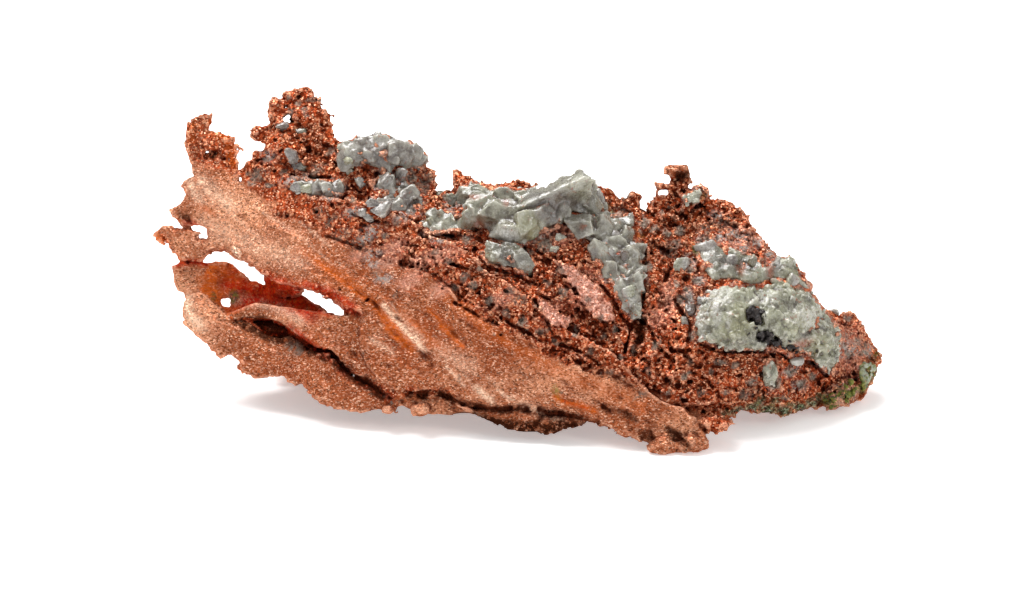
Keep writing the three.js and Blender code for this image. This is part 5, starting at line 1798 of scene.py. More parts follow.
c, r, r0 = scatter(17000, 0.22, 0.40, 2.2, 0.1, 41)
G.blobs(F, c, r, r0, 2.0)
c, r, r0 = scatter(900, 0.25, 0.40, 1.6, -0.3, 42)
G.blobs(F, c, r, r0, 3.2, cut=True)
lap("grains and pores")

# cracks and pits
wobble = 0.05 * flat_noise(0.45, 51) + 0.05 * flat_noise(1.0, 52)
groove = np.zeros_like(MU)
for path, half, deep in CRACKS:
    d = path_distance(path, MU, MV) + wobble
    if deep > 1.2:
        F = np.maximum(F, np.minimum(spread(half * (0.85 + 0.35 * flat_noise(0.7, 53)) - d), deep - Q))
    else:
        groove = np.maximum(groove, 0.75 * np.exp(-((d / max(half, 0.24)) ** 2)))
F += spread(groove) * smooth(2.5, 1.0, np.abs(Q))
for outline, set_back, thick in FILLS:
    d = inside_distance(outline, MU, MV) + wobble + 0.30 * flat_noise(0.7, 37)
    c = np.mean(outline, 0)
    m = (d > -2.0) & (DEPTH < 60)
    lw = np.stack([np.ones(m.sum()), MU[m] - c[0], MV[m] - c[1]], 1)
    k, *_ = np.linalg.lstsq(lw, DEPTH[m], rcond=None)
    P = spread(k[0] + set_back + k[1] * (MU - c[0]) + k[2] * (MV - c[1]) + 0.2 * flat_noise(0.8, 34))
    F = np.minimum(F, np.maximum(np.maximum(-spread(d), P - GW[None]), GW[None] - P - thick - spread(0.4 * flat_noise(0.9, 38))))
g = np.full_like(MU, -9)
for u, v, r in PITS:
    g = np.maximum(g, 0.8 * max(r, 0.2) - spot(MU, MV, u, v, 1.35, 0.75, 40 * math.sin(u + 3 * v)) + 2.2 * wobble)
F = np.maximum(F, np.minimum(spread(g), 0.8 - Q))
lap("cracks")

# the leaves stay whole along their middle
F = np.minimum(F, F0 + 0.6 + 12 * (1 - S3))
F = np.maximum(F, spread(OUTSIDE) + 0.16 * np.clip(Q - 0.4, 0, 5) + 0.24 * G.noise(0.7, 10) + 0.04)
for outline, deep in CUTS:
    d = inside_distance(outline, MU, MV) + 0.5 * wobble
    F = np.maximum(F, np.minimum(spread(d), deep - Q))

# ramps that carry one leaf into the next
for path, half in RAMPS:
    d = half - path_distance(path, MU, MV)
    P = spread(np.where(d > -0.5, soft(DEPTH, 9) + 0.12 + 0.8 * smooth(0.9, 0.0, d), 99) + 0.10 * flat_noise(1.2, 35) + 0.05 * flat_noise(0.5, 36))
    F = np.minimum(F, np.maximum(np.maximum(-spread(d), P - GW[None]), GW[None] - P - 1.0))

F = np.maximum(F, 0.05 - G.z[None, None, :])
P3, TRI = G.skin(F)
P3, TRI = keep_big(P3, TRI)
lap("skin %d %d" % (len(P3), len(TRI)))

# how hollow and how deep each point of the surface lies
occ = np.clip(0.5 - F / (2 * H), 0, 1)
CAV = G.at(G.blur(occ, 2), P3) - 0.5
DEEP = G.at(G.blur(occ, 7), P3) - 0.5
del occ
lap("hollows")

pu, pv, pw = to_uvw(P3)
PQ = pw - sample(DEPTH, pu, pv)
sheet = sample(SHEET * (1 - 0.85 * HORN), pu, pv) * smooth(7.0, 5.0, PQ)
front = smooth(5.0, 2.5, PQ)
paint = np.zeros((len(P3), 4), np.float32)  # painted orange glow, painted red bounce light in shade, painted glint, pink film
for path, half, kind, strength in STREAKS:
    m = strength * np.exp(-((path_distance(path, MU, MV) / half) ** 2))
    k = {"or": 0, "rd": 1, "gd": 2}[kind]
    paint[:, k] = np.maximum(paint[:, k], sample(m, pu, pv) * front)
film = np.zeros((len(P3), 4), np.float32)  # dark grey, white, yellow-green, plate
for u, v, a, b, turn, kind in PATCHES:
    m = np.exp(-(spot(MU, MV, u, v, a, b, turn) ** 3))
    m = sample(m.astype(np.float32), pu, pv) * front
    if kind == "pk":
        paint[:, 3] = np.maximum(paint[:, 3], m)
    else:
        k = {"dg": 0, "w": 1, "yg": 2}[kind]
        film[:, k] = np.maximum(film[:, k], m)
# painted red and orange bounce light on the shaded wall leaf behind, in blotches
back = sample(smooth(-0.5, 0.2, IN_BACK).astype(np.float32), pu, pv) * smooth(12, 10, PQ)
blotches = sample((0.55 + 0.5 * flat_noise(1.4, 61) + 0.3 * flat_noise(0.5, 62)).astype(np.float32), pu, pv)
wall = smooth(-51, -44, pu)
back *= smooth(-52.5, -49.5, pu + 1.5 * blotches)
back *= sample(smooth(0.3, -0.2, np.maximum(IN_RIDGE, np.maximum(IN_LOWER, IN_UPPER))).astype(np.float32), pu, pv)
paint[:, 1] = np.maximum(paint[:, 1], back * wall * np.clip(0.45 + blotches, 0, 1))
paint[:, 0] = np.maximum(paint[:, 0], back * np.clip(blotches + 0.2, 0, 1))
shade = sample(SHADE, pu, pv) * smooth(4.5, 2.5, PQ)
# painted light on the sheet, from the paler zones
tone = sample(PAINTED_LIGHT, pu, pv) * smooth(7, 5, PQ)
film2 = np.zeros((len(P3), 4), np.float32)  # green crust, grey grain, dark grain, dark green crust
film2[:, 0] = sample(GREEN.astype(np.float32), pu, pv) * smooth(5, 3, PQ)
film2[:, 3] = sample(TEAL.astype(np.float32), pu, pv) * smooth(5, 3, PQ)
film2[:, 1] = sample(STAIN[0], pu, pv) * smooth(3, 2, PQ)
film2[:, 2] = sample(STAIN[1], pu, pv) * smooth(3, 2, PQ)
stained = smooth(1.6, 0.3, G.at(FM, P3)) * (1 - 0.8 * sheet) * front
grey = sample((0.5 + 0.9 * flat_noise(0.9, 63) + 0.5 * flat_noise(0.4, 64)).astype(np.float32), pu, pv)
film[:, 1] = np.maximum(film[:, 1], 0.6 * stained * np.clip(grey, 0, 1))
dust = smooth(0.9, 1.5, G.at(G.noise(1.6, 12), P3) + 0.4 * G.at(G.noise(0.6, 13), P3)) * (1 - front) * (1 - sheet)
film[:, 1] = np.maximum(film[:, 1], 0.55 * dust)
film[:, 3] = sample(PLATE.astype(np.float32), pu, pv) * smooth(2.0, 1.0, PQ)
lap("paint")

# ---------------------------------------------------------------- materials
def shader(name):
    m = bpy.data.materials.new(name)
    m.use_nodes = True
    n = m.node_tree.nodes
    n.clear()
    out = n.new("ShaderNodeOutputMaterial")
    bsdf = n.new("ShaderNodeBsdfPrincipled")
    m.node_tree.links.new(bsdf.outputs[0], out.inputs[0])
    return m, n, m.node_tree.links, bsdf


class Nodes:
    def __init__(self, name):
        self.mat, self.n, self.l, self.bsdf = shader(name)
        self.pos = self.n.new("ShaderNodeTexCoord").outputs["Object"]

    def link(self, a, b):
        self.l.new(a, b)

    def value(self, socket, v):
        if hasattr(v, "is_output"):
            self.l.new(v, socket)
        else:
            socket.default_value = v

    def attr(self, name, channel=None):
        a = self.n.new("ShaderNodeAttribute")
        a.attribute_name = name
        if channel is None:
            return a.outputs["Fac"]
        s = self.n.new("ShaderNodeSeparateColor")
        self.link(a.outputs["Color"], s.inputs[0])
        return s.outputs[channel] if channel < 3 else a.outputs["Alpha"]

    def mapping(self, scale=(1, 1, 1), rot=(0, 0, 0), vec=None):
        m = self.n.new("ShaderNodeMapping")
        m.inputs["Scale"].default_value = scale
        m.inputs["Rotation"].default_value = rot
        self.link(vec or self.pos, m.inputs["Vector"])
        return m.outputs[0]

    def noise(self, size_mm, detail=3.0, rough=0.55, vec=None, kind="FBM", distort=0.0):
        t = self.n.new("ShaderNodeTexNoise")
        t.inputs["Scale"].default_value = MM / size_mm
        t.inputs["Detail"].default_value = detail
        t.inputs["Roughness"].default_value = rough
        t.inputs["Distortion"].default_value = distort
        self.link(vec or self.pos, t.inputs["Vector"])
        return t.outputs[0]

    def cells(self, size_mm, feature="F1", out="Distance", vec=None, randomness=1.0):
        t = self.n.new("ShaderNodeTexVoronoi")
        t.feature = feature
        t.inputs["Scale"].default_value = MM / size_mm
        t.inputs["Randomness"].default_value = randomness
        self.link(vec or self.pos, t.inputs["Vector"])
        return t.outputs[out]

    def math(self, op, a, b=0.0, clamp=False):
        t = self.n.new("ShaderNodeMath")
        t.operation = op
        t.use_clamp = clamp
        self.value(t.inputs[0], a)
        self.value(t.inputs[1], b)
        return t.outputs[0]

    def range(self, v, a, b, c=0.0, d=1.0):
        t = self.n.new("ShaderNodeMapRange")
        t.interpolation_type = "SMOOTHSTEP"
        self.value(t.inputs["Value"], v)
        for k, x in zip(("From Min", "From Max", "To Min", "To Max"), (a, b, c, d)):
            t.inputs[k].default_value = x
        return t.outputs[0]

    def mix(self, f, a, b, mode="MIX"):
        t = self.n.new("ShaderNodeMix")
        t.data_type = "RGBA"
        t.blend_type = mode
        t.clamp_factor = True
        self.value(t.inputs[0], f)
        self.value(t.inputs[6], a if hasattr(a, "is_output") else (*a, 1.0))
        self.value(t.inputs[7], b if hasattr(b, "is_output") else (*b, 1.0))
        return t.outputs[2]

    def ramp(self, v, stops):
        t = self.n.new("ShaderNodeValToRGB")
        e = t.color_ramp.elements
        while len(e) > 1:
            e.remove(e[-1])
        for k, (x, c) in enumerate(stops):
            s = e[0] if k == 0 else e.new(x)
            s.position = x
            s.color = (*c, 1.0)
        self.link(v, t.inputs[0])
        return t.outputs[0]

    def bump(self, height, mm, strength=1.0, normal=None):
        t = self.n.new("ShaderNodeBump")
        t.inputs["Distance"].default_value = mm / MM
        self.value(t.inputs["Strength"], strength)
        self.link(height, t.inputs["Height"])
        if normal:
            self.link(normal, t.inputs["Normal"])
        return t.outputs[0]


def facets(s, size_mm, amount, normal, vec=None):
    """Tilts the normal cell by cell, as small crystal faces do."""
    t = s.n.new("ShaderNodeTexVoronoi")
    t.inputs["Scale"].default_value = MM / size_mm
    s.link(vec or s.pos, t.inputs["Vector"])
    a = s.n.new("ShaderNodeVectorMath")
    a.operation = "SUBTRACT"
    s.link(t.outputs["Color"], a.inputs[0])
    a.inputs[1].default_value = (0.5, 0.5, 0.5)
    b = s.n.new("ShaderNodeVectorMath")
    b.operation = "SCALE"
    s.link(a.outputs[0], b.inputs[0])
    s.value(b.inputs["Scale"], amount)
    c = s.n.new("ShaderNodeVectorMath")
    s.link(normal, c.inputs[0])
    s.link(b.outputs[0], c.inputs[1])
    d = s.n.new("ShaderNodeVectorMath")
    d.operation = "NORMALIZE"
    s.link(c.outputs[0], d.inputs[0])
    return d.outputs[0]


def copper_material():
    s = Nodes("native_copper")
    sheet, cav, deep = s.attr("sheet"), s.attr("cav"), s.attr("deep")
    painted_orange_glow, painted_red_bounce, painted_glint_streak, pink = [s.attr("paint", k) for k in range(4)]
    dgrey, white, ygreen = [s.attr("film", k) for k in range(3)]
    plate = s.attr("film", 3)
    green, grain, dgrain = [s.attr("film2", k) for k in range(3)]
    teal = s.attr("film2", 3)
    along = s.mapping((0.45, 1, 1), (math.radians(20), math.radians(33), 0))
    streak = s.noise(0.34, 4, 0.75, along)
    patch = s.noise(7.0, 4, 0.6)
    mid = s.noise(1.7, 4, 0.65)
    fine = s.noise(0.45, 3, 0.7)

    def split(size, vec=None):
        n = s.n.new("ShaderNodeSeparateColor")
        s.link(s.cells(size, out="Color", vec=vec), n.inputs[0])
        return n.outputs

    cell, glint = split(0.42), split(0.17, s.mapping((0.6, 1, 1), (math.radians(20), math.radians(33), 0)))
    # sheet
    tone, shade = s.attr("tone"), s.attr("shade")
    c_sheet = s.ramp(patch, [(0.30, (0.29, 0.062, 0.020)), (0.5, (0.36, 0.092, 0.032)), (0.72, (0.45, 0.135, 0.056))])
    # painted light: paler copper where the light falls on the sheet
    c_sheet = s.mix(tone, c_sheet, (0.72, 0.33, 0.18))
    c_sheet = s.mix(s.range(mid, 0.50, 0.34, 0, 0.55), c_sheet, (0.24, 0.062, 0.024))
    c_sheet = s.mix(s.range(streak, 0.50, 0.74, 0, 0.8), c_sheet, (0.95, 0.54, 0.36))
    c_sheet = s.mix(s.range(streak, 0.46, 0.32, 0, 0.7), c_sheet, (0.24, 0.05, 0.018))
    c_sheet = s.mix(s.math("MULTIPLY", s.range(glint[0], 0.76, 0.92), s.range(mid, 0.42, 0.60, 0.25, 0.75)), c_sheet, (1.0, 0.64, 0.45))
    c_sheet = s.mix(s.range(glint[1], 0.74, 0.90, 0, 0.8), c_sheet, (0.10, 0.028, 0.012))
    # crumb
    c_crumb = s.ramp(s.noise(1.3, 5, 0.75), [(0.32, (0.16, 0.018, 0.005)), (0.46, (0.33, 0.050, 0.014)), (0.58, (0.50, 0.100, 0.033)), (0.74, (0.68, 0.20, 0.092))])
    c_crumb = s.mix(s.range(patch, 0.56, 0.40, 0, 0.5), c_crumb, (0.17, 0.040, 0.015))
    # painted highlights on random facet cells
    c_crumb = s.mix(s.range(cell[0], 0.64, 0.92, 0, 0.75), c_crumb, (0.88, 0.39, 0.21))
    c_crumb = s.mix(s.range(cell[1], 0.62, 0.90, 0, 0.85), c_crumb, (0.12, 0.013, 0.003))
    c_crumb = s.mix(s.range(glint[2], 0.86, 0.96, 0, 0.8), c_crumb, (1.0, 0.58, 0.38))
    c = s.mix(sheet, c_crumb, c_sheet)
    uneven = s.range(streak, 0.34, 0.66, 1.0, 0.55)
    # painted light: orange glow in grooves and along rims
    c = s.mix(s.math("MULTIPLY", painted_orange_glow, uneven), c, (0.66, 0.130, 0.014))
    # painted highlight: bright glint streaks
    c = s.mix(s.math("MULTIPLY", painted_glint_streak, s.range(glint[0], 0.3, 0.6, 0.35, 1.0)), c, (1.0, 0.72, 0.52))
    c = s.mix(s.math("MULTIPLY", pink, s.range(fine, 0.35, 0.6, 0.2, 0.75)), c, (0.70, 0.35, 0.25))
    # painted shade and red bounce light on the shaded walls
    c = s.mix(s.math("MULTIPLY", painted_red_bounce, s.range(fine, 0.40, 0.72, 1.0, 0.45)), c, s.ramp(mid, [(0.35, (0.24, 0.004, 0.001)), (0.55, (0.50, 0.016, 0.003)), (0.7, (0.66, 0.07, 0.010))]))
    # hollows are darkened, partly painted shade and partly the dark oxide copper holds there; raised edges get a
    # painted highlight
    c = s.mix(s.range(cav, 0.02, 0.16, 0, 0.90), c, (0.072, 0.008, 0.002))
    c = s.mix(s.range(deep, 0.03, 0.18, 0, 0.82), c, (0.078, 0.010, 0.003))
    c = s.mix(s.range(cav, -0.10, -0.22, 0, 0.45), c, (0.90, 0.48, 0.31))
    # painted shade in the dark recesses, mottled
    c = s.mix(s.math("MULTIPLY", shade, s.range(s.noise(1.0, 4, 0.7), 0.60, 0.51, 0.35, 1.0)), c, (0.036, 0.008, 0.003))
    # mineral film
    fn = s.range(s.noise(0.7, 4, 0.75), 0.43, 0.57)
    c = s.mix(s.math("MULTIPLY", plate, s.range(fine, 0.3, 0.5, 0.55, 0.9)), c, s.ramp(fine, [(0.32, (0.42, 0.14, 0.085)), (0.5, (0.70, 0.34, 0.25)), (0.68, (0.86, 0.56, 0.46))]))
    c = s.mix(s.math("MULTIPLY", s.math("MULTIPLY", dgrey, fn), 0.85), c, (0.13, 0.105, 0.085))
    c = s.mix(s.math("MULTIPLY", white, fn), c, s.ramp(fine, [(0.3, (0.20, 0.17, 0.15)), (0.5, (0.38, 0.34, 0.31)), (0.7, (0.60, 0.56, 0.53))]))
    c = s.mix(s.math("MULTIPLY", ygreen, s.math("MULTIPLY", fn, 0.8)), c, (0.24, 0.19, 0.035))
    c = s.mix(s.math("MULTIPLY", grain, s.range(s.noise(0.6, 3, 0.7), 0.38, 0.52, 0.25, 0.85)), c, s.ramp(fine, [(0.3, (0.13, 0.10, 0.08)), (0.5, (0.22, 0.195, 0.16)), (0.7, (0.36, 0.34, 0.29))]))
    c = s.mix(s.math("MULTIPLY", dgrain, s.range(s.noise(0.6, 3, 0.7), 0.38, 0.52, 0.25, 0.8)), c, s.ramp(fine, [(0.3, (0.06, 0.042, 0.032)), (0.5, (0.12, 0.095, 0.078)), (0.7, (0.22, 0.19, 0.16))]))
    gn = s.math("MULTIPLY", green, s.range(s.noise(0.7, 4, 0.75), 0.38, 0.48))
    c = s.mix(gn, c, s.ramp(s.noise(0.75, 4, 0.7), [(0.36, (0.008, 0.011, 0.006)), (0.47, (0.035, 0.050, 0.018)), (0.57, (0.12, 0.135, 0.012)), (0.66, (0.23, 0.235, 0.040)), (0.78, (0.36, 0.39, 0.25))]))
    tn = s.math("MULTIPLY", teal, s.range(s.noise(0.8, 4, 0.75), 0.36, 0.46))
    c = s.mix(tn, c, s.ramp(s.noise(0.6, 4, 0.7), [(0.38, (0.004, 0.006, 0.004)), (0.46, (0.014, 0.024, 0.011)), (0.51, (0.060, 0.095, 0.040)), (0.57, (0.22, 0.28, 0.15)), (0.65, (0.55, 0.61, 0.50))]))
    s.link(c, s.bsdf.inputs["Base Color"])
    filmed = s.math("MULTIPLY", s.math("MAXIMUM", s.math("MAXIMUM", dgrey, white), ygreen), fn)
    filmed = s.math("MAXIMUM", filmed, s.math("MAXIMUM", s.math("MAXIMUM", gn, tn), s.math("MULTIPLY", s.math("MAXIMUM", grain, dgrain), 0.8)))
    filmed = s.math("MAXIMUM", filmed, s.math("MULTIPLY", plate, 0.35))
    filmed = s.math("MAXIMUM", filmed, s.math("MULTIPLY", pink, 0.15))
    s.link(s.range(filmed, 0.0, 1.0, 0.92, 0.05), s.bsdf.inputs["Metallic"])
    s.bsdf.inputs["Specular Tint"].default_value = (0.95, 0.50, 0.32, 1.0)
    rough = s.range(s.noise(0.4, 3, 0.7), 0.3, 0.7, 0.28, 0.60)
    s.link(rough, s.bsdf.inputs["Roughness"])
    b1 = s.bump(streak, 0.26, s.math("MULTIPLY", sheet, 0.9))
    b2 = s.bump(s.cells(0.36), 0.20, s.range(sheet, 0, 1, 0.95, 0.5), b1)
    b3 = s.bump(s.noise(0.22, 3, 0.7), 0.09, 0.9, b2)
    s.link(facets(s, 0.26, s.range(sheet, 0, 1, 1.15, 0.75), b3), s.bsdf.inputs["Normal"])
    return s.mat


def prehnite_material():
    s = Nodes("prehnite")
    cav, kind, deep, sage = s.attr("cav"), s.attr("kind"), s.attr("deep"), s.attr("sage")
    yellow, white, dark, brown = [s.attr("tint", k) for k in range(4)]
    warp = s.n.new("ShaderNodeVectorMath")
    warp.operation = "MULTIPLY_ADD"
    wn = s.n.new("ShaderNodeTexNoise")
    wn.inputs["Scale"].default_value = MM / 1.2
    wn.inputs["Detail"].default_value = 3
    s.link(s.pos, wn.inputs["Vector"])
    s.link(wn.outputs["Color"], warp.inputs[0])
    warp.inputs[1].default_value = (0.0011, 0.0011, 0.0011)
    s.link(s.pos, warp.inputs[2])
    domain = s.n.new("ShaderNodeSeparateColor")
    s.link(s.cells(1.5, out="Color", vec=warp.outputs[0]), domain.inputs[0])
    small = s.n.new("ShaderNodeSeparateColor")
    s.link(s.cells(0.55, out="Color", vec=warp.outputs[0]), small.inputs[0])
    cloud = s.noise(2.6, 4, 0.6)
    fine = s.noise(0.42, 4, 0.7)
    tone = s.math("ADD", s.math("MULTIPLY", cloud, 0.55), s.math("MULTIPLY", s.noise(7.0, 3, 0.5), 0.45))
    tone = s.math("ADD", tone, s.math("MULTIPLY", s.math("SUBTRACT", domain.outputs[0], 0.5), 0.13))
    tone = s.math("ADD", tone, s.math("MULTIPLY", s.math("SUBTRACT", small.outputs[0], 0.5), 0.07))
    grey = s.ramp(tone, [(0.36, (0.080, 0.056, 0.050)), (0.45, (0.140, 0.112, 0.100)), (0.54, (0.235, 0.210, 0.186)), (0.68, (0.43, 0.41, 0.37))])
    green = s.ramp(tone, [(0.36, (0.11, 0.100, 0.064)), (0.45, (0.185, 0.180, 0.118)), (0.54, (0.275, 0.275, 0.190)), (0.70, (0.42, 0.42, 0.32))])
    c = s.mix(sage, grey, green)
    sugary = s.range(sage, 0.5, 1.0, 0.30, 1.0)
    c = s.mix(s.math("MULTIPLY", sugary, s.range(fine, 0.56, 0.70, 0, 0.5)), c, (0.60, 0.59, 0.51))
    c = s.mix(s.math("MULTIPLY", sugary, s.range(fine, 0.43, 0.30, 0, 0.6)), c, (0.15, 0.115, 0.080))
    c = s.mix(s.math("MULTIPLY", yellow, s.range(fine, 0.3, 0.6, 0.75, 0.4)), c, (0.34, 0.33, 0.175))
    # dark tint: painted shade on the masses, and the darker grey grains
    c = s.mix(s.math("MULTIPLY", dark, 0.85), c, (0.11, 0.092, 0.078))
    c = s.mix(s.math("MULTIPLY", white, s.range(fine, 0.35, 0.6, 0.2, 0.75)), c, (0.60, 0.58, 0.53))
    # painted highlight on raised parts and edges, painted shade in hollows
    c = s.mix(s.range(deep, -0.06, -0.20, 0, 0.25), c, (0.50, 0.49, 0.43))
    c = s.mix(s.range(deep, 0.03, 0.18, 0, 0.65), c, (0.11, 0.082, 0.062))
    c = s.mix(s.range(cav, -0.10, -0.22, 0, 0.25), c, (0.56, 0.54, 0.49))
    c = s.mix(s.range(cav, 0.05, 0.16, 0, 0.65), c, (0.09, 0.064, 0.046))
    # brown stain from the copper, in blotches
    blotches = s.math("MULTIPLY", s.range(s.noise(1.4, 5, 0.75), 0.59, 0.67), 0.8)
    blotches = s.math("MAXIMUM", blotches, s.math("MULTIPLY", brown, s.range(fine, 0.34, 0.52)))
    c = s.mix(blotches, c, (0.25, 0.075, 0.032))
    # small grains in the crumb are stained by the copper
    c = s.mix(s.range(kind, 0.0, 1.0, 0, 0.55), c, (0.13, 0.085, 0.060))
    s.link(c, s.bsdf.inputs["Base Color"])
    s.link(s.range(fine, 0.3, 0.7, 0.14, 0.36), s.bsdf.inputs["Roughness"])
    s.bsdf.inputs["IOR"].default_value = 1.63
    s.bsdf.inputs["Coat Weight"].default_value = 0.35
    s.bsdf.inputs["Coat Roughness"].default_value = 0.12
    s.bsdf.inputs["Subsurface Weight"].default_value = 0.8
    s.bsdf.inputs["Subsurface Radius"].default_value = (1.0, 1.0, 0.85)
    s.bsdf.inputs["Subsurface Scale"].default_value = 0.0012
    b = s.bump(s.noise(0.30, 4, 0.7), 0.08, sugary)
    b = s.bump(s.cells(0.5, vec=warp.outputs[0]), 0.15, s.math("MULTIPLY", sugary, 0.7), b)
    s.link(facets(s, 1.7, 0.36, facets(s, 0.45, s.math("MULTIPLY", sugary, 0.34), b, warp.outputs[0]), warp.outputs[0]), s.bsdf.inputs["Normal"])
    return s.mat


def dark_material():
    s = Nodes("dark_mineral")
    c = s.ramp(s.noise(0.8, 4, 0.65), [(0.35, (0.008, 0.006, 0.006)), (0.55, (0.028, 0.021, 0.020)), (0.72, (0.10, 0.08, 0.07))])
    c = s.mix(s.range(s.noise(0.3, 3, 0.6), 0.62, 0.74, 0, 0.6), c, (0.35, 0.34, 0.34))
    s.link(c, s.bsdf.inputs["Base Color"])
    s.link(s.range(s.noise(0.5, 3), 0.3, 0.7, 0.3, 0.55), s.bsdf.inputs["Roughness"])
    s.bsdf.inputs["Specular IOR Level"].default_value = 0.35
    s.link(s.bump(s.cells(0.5), 0.12, 0.8), s.bsdf.inputs["Normal"])
    return s.mat


def green_material():
    s = Nodes("green_crust")
    white = s.attr("tint", 1)
    c = s.ramp(s.noise(0.75, 5, 0.7), [(0.34, (0.012, 0.016, 0.006)), (0.43, (0.07, 0.085, 0.010)), (0.51, (0.14, 0.155, 0.012)), (0.62, (0.26, 0.265, 0.035)), (0.76, (0.42, 0.45, 0.28))])
    c = s.mix(s.math("MULTIPLY", white, s.range(s.noise(0.6, 4, 0.7), 0.40, 0.52, 0.1, 0.95)), c, (0.44, 0.47, 0.38))
    c = s.mix(s.range(s.noise(0.9, 4, 0.75), 0.58, 0.66, 0, 0.85), c, (0.24, 0.060, 0.024))
    s.link(c, s.bsdf.inputs["Base Color"])
    s.bsdf.inputs["Roughness"].default_value = 0.62
    s.link(s.bump(s.noise(0.3, 4, 0.7), 0.15, 0.9), s.bsdf.inputs["Normal"])
    return s.mat


# ---------------------------------------------------------------- minerals
FU, FV, FW = np.array([1.0, 0, 0]), np.array([0, SN, CS]), np.array([0, CS, -SN])
DEPTH2 = first_depth(F)
BODY = G.blur(F, 4)


def turned(turn, pitch, yaw):
    """Axes of a block turned in the face plane, then pitched and yawed out of it."""
    t, p, y = [math.radians(a) for a in (turn, pitch, yaw)]
    a = math.cos(t) * FU + math.sin(t) * FV
    b = -math.sin(t) * FU + math.cos(t) * FV
    c = FW
    b, c = math.cos(p) * b + math.sin(p) * c, -math.sin(p) * b + math.cos(p) * c
    a, c = math.cos(y) * a + math.sin(y) * c, -math.sin(y) * a + math.cos(y) * c
    return np.array([a, b, c])


def surface_sites(g, f, n, rng0):
    cand = np.argwhere(np.abs(f) < g.h * 0.6)
    pick = cand[rng0.integers(0, len(cand), n)]
    gr = np.stack([np.gradient(f, axis=k)[tuple(pick.T)] for k in range(3)], 1)
    gr /= np.linalg.norm(gr, axis=1, keepdims=True) + 1e-6
    return (pick + g.i0) * g.h, gr, len(cand) * g.h**2 / 1.2


# per node: crystal half sizes, crystals per square cm, lumps, sugar, extra growth, softness of the joins
STYLE = {
    "prehnite_crown": (0.5, 1.3, 24, 0.22, 0.05, 0.2, 0.45),
    "prehnite_crown_lower": (0.35, 0.85, 60, 0.3, 0.08, -0.08, 0.25),
    "prehnite_ridge": (0.6, 1.5, 10, 0.16, 0.05, 0.15, 0.5),
    "prehnite_wedge": (0.6, 1.2, 6, 0.2, 0.06, 0.2, 0.7),
    "prehnite_vein": (0.5, 1.3, 20, 0.2, 0.06, 0.12, 0.4),
    "prehnite_shelf": (0.6, 1.3, 9, 0.3, 0.07, 0.15, 0.6),
    "prehnite_nodule": (0.3, 0.7, 26, 0.22, 0.16, 0.38, 0.35),
    "prehnite_tower_crystals": (0.4, 0.8, 20, 0.25, 0.08, 0.15, 0.35),
    "prehnite_foot": (0.3, 0.7, 24, 0.25, 0.12, 0.1, 0.5),
    "prehnite_cap_right": (0.25, 0.5, 40, 0.35, 0.20, -0.15, 0.4),
    "prehnite_back_upper": (0.45, 1.2, 34, 0.25, 0.10, 0.2, 0.3),
    "prehnite_back_lower": (0.45, 1.2, 34, 0.25, 0.10, 0.2, 0.3),
    "prehnite_back_left": (0.45, 1.2, 34, 0.25, 0.10, 0.2, 0.3),
    "dark_inclusion_upper": (0.2, 0.45, 120, 0.3, 0.2, 0.05, 0.12),
    "dark_inclusion_middle": (0.25, 0.5, 90, 0.35, 0.15, 0.0, 0.15),
    "dark_inclusion_lower": (0.25, 0.5, 90, 0.35, 0.15, 0.0, 0.15),
    "green_crust_foot": (0.25, 0.5, 40, 0.5, 0.30, 0.3, 0.3),
    "green_crust_edge": (0.25, 0.5, 40, 0.5, 0.30, 0.3, 0.3),
}
TINT = np.zeros((4,) + MU.shape, np.float32)  # yellow-green, white, dark grey (painted shade, with some darker mineral), brown
for u, v, a, b, turn, kind in TINTS:
    if kind in "ywdb":
        k = "ywdb".index(kind)
        TINT[k] = np.maximum(TINT[k], np.exp(-(spot(MU, MV, u, v, a, b, turn) ** 3)))

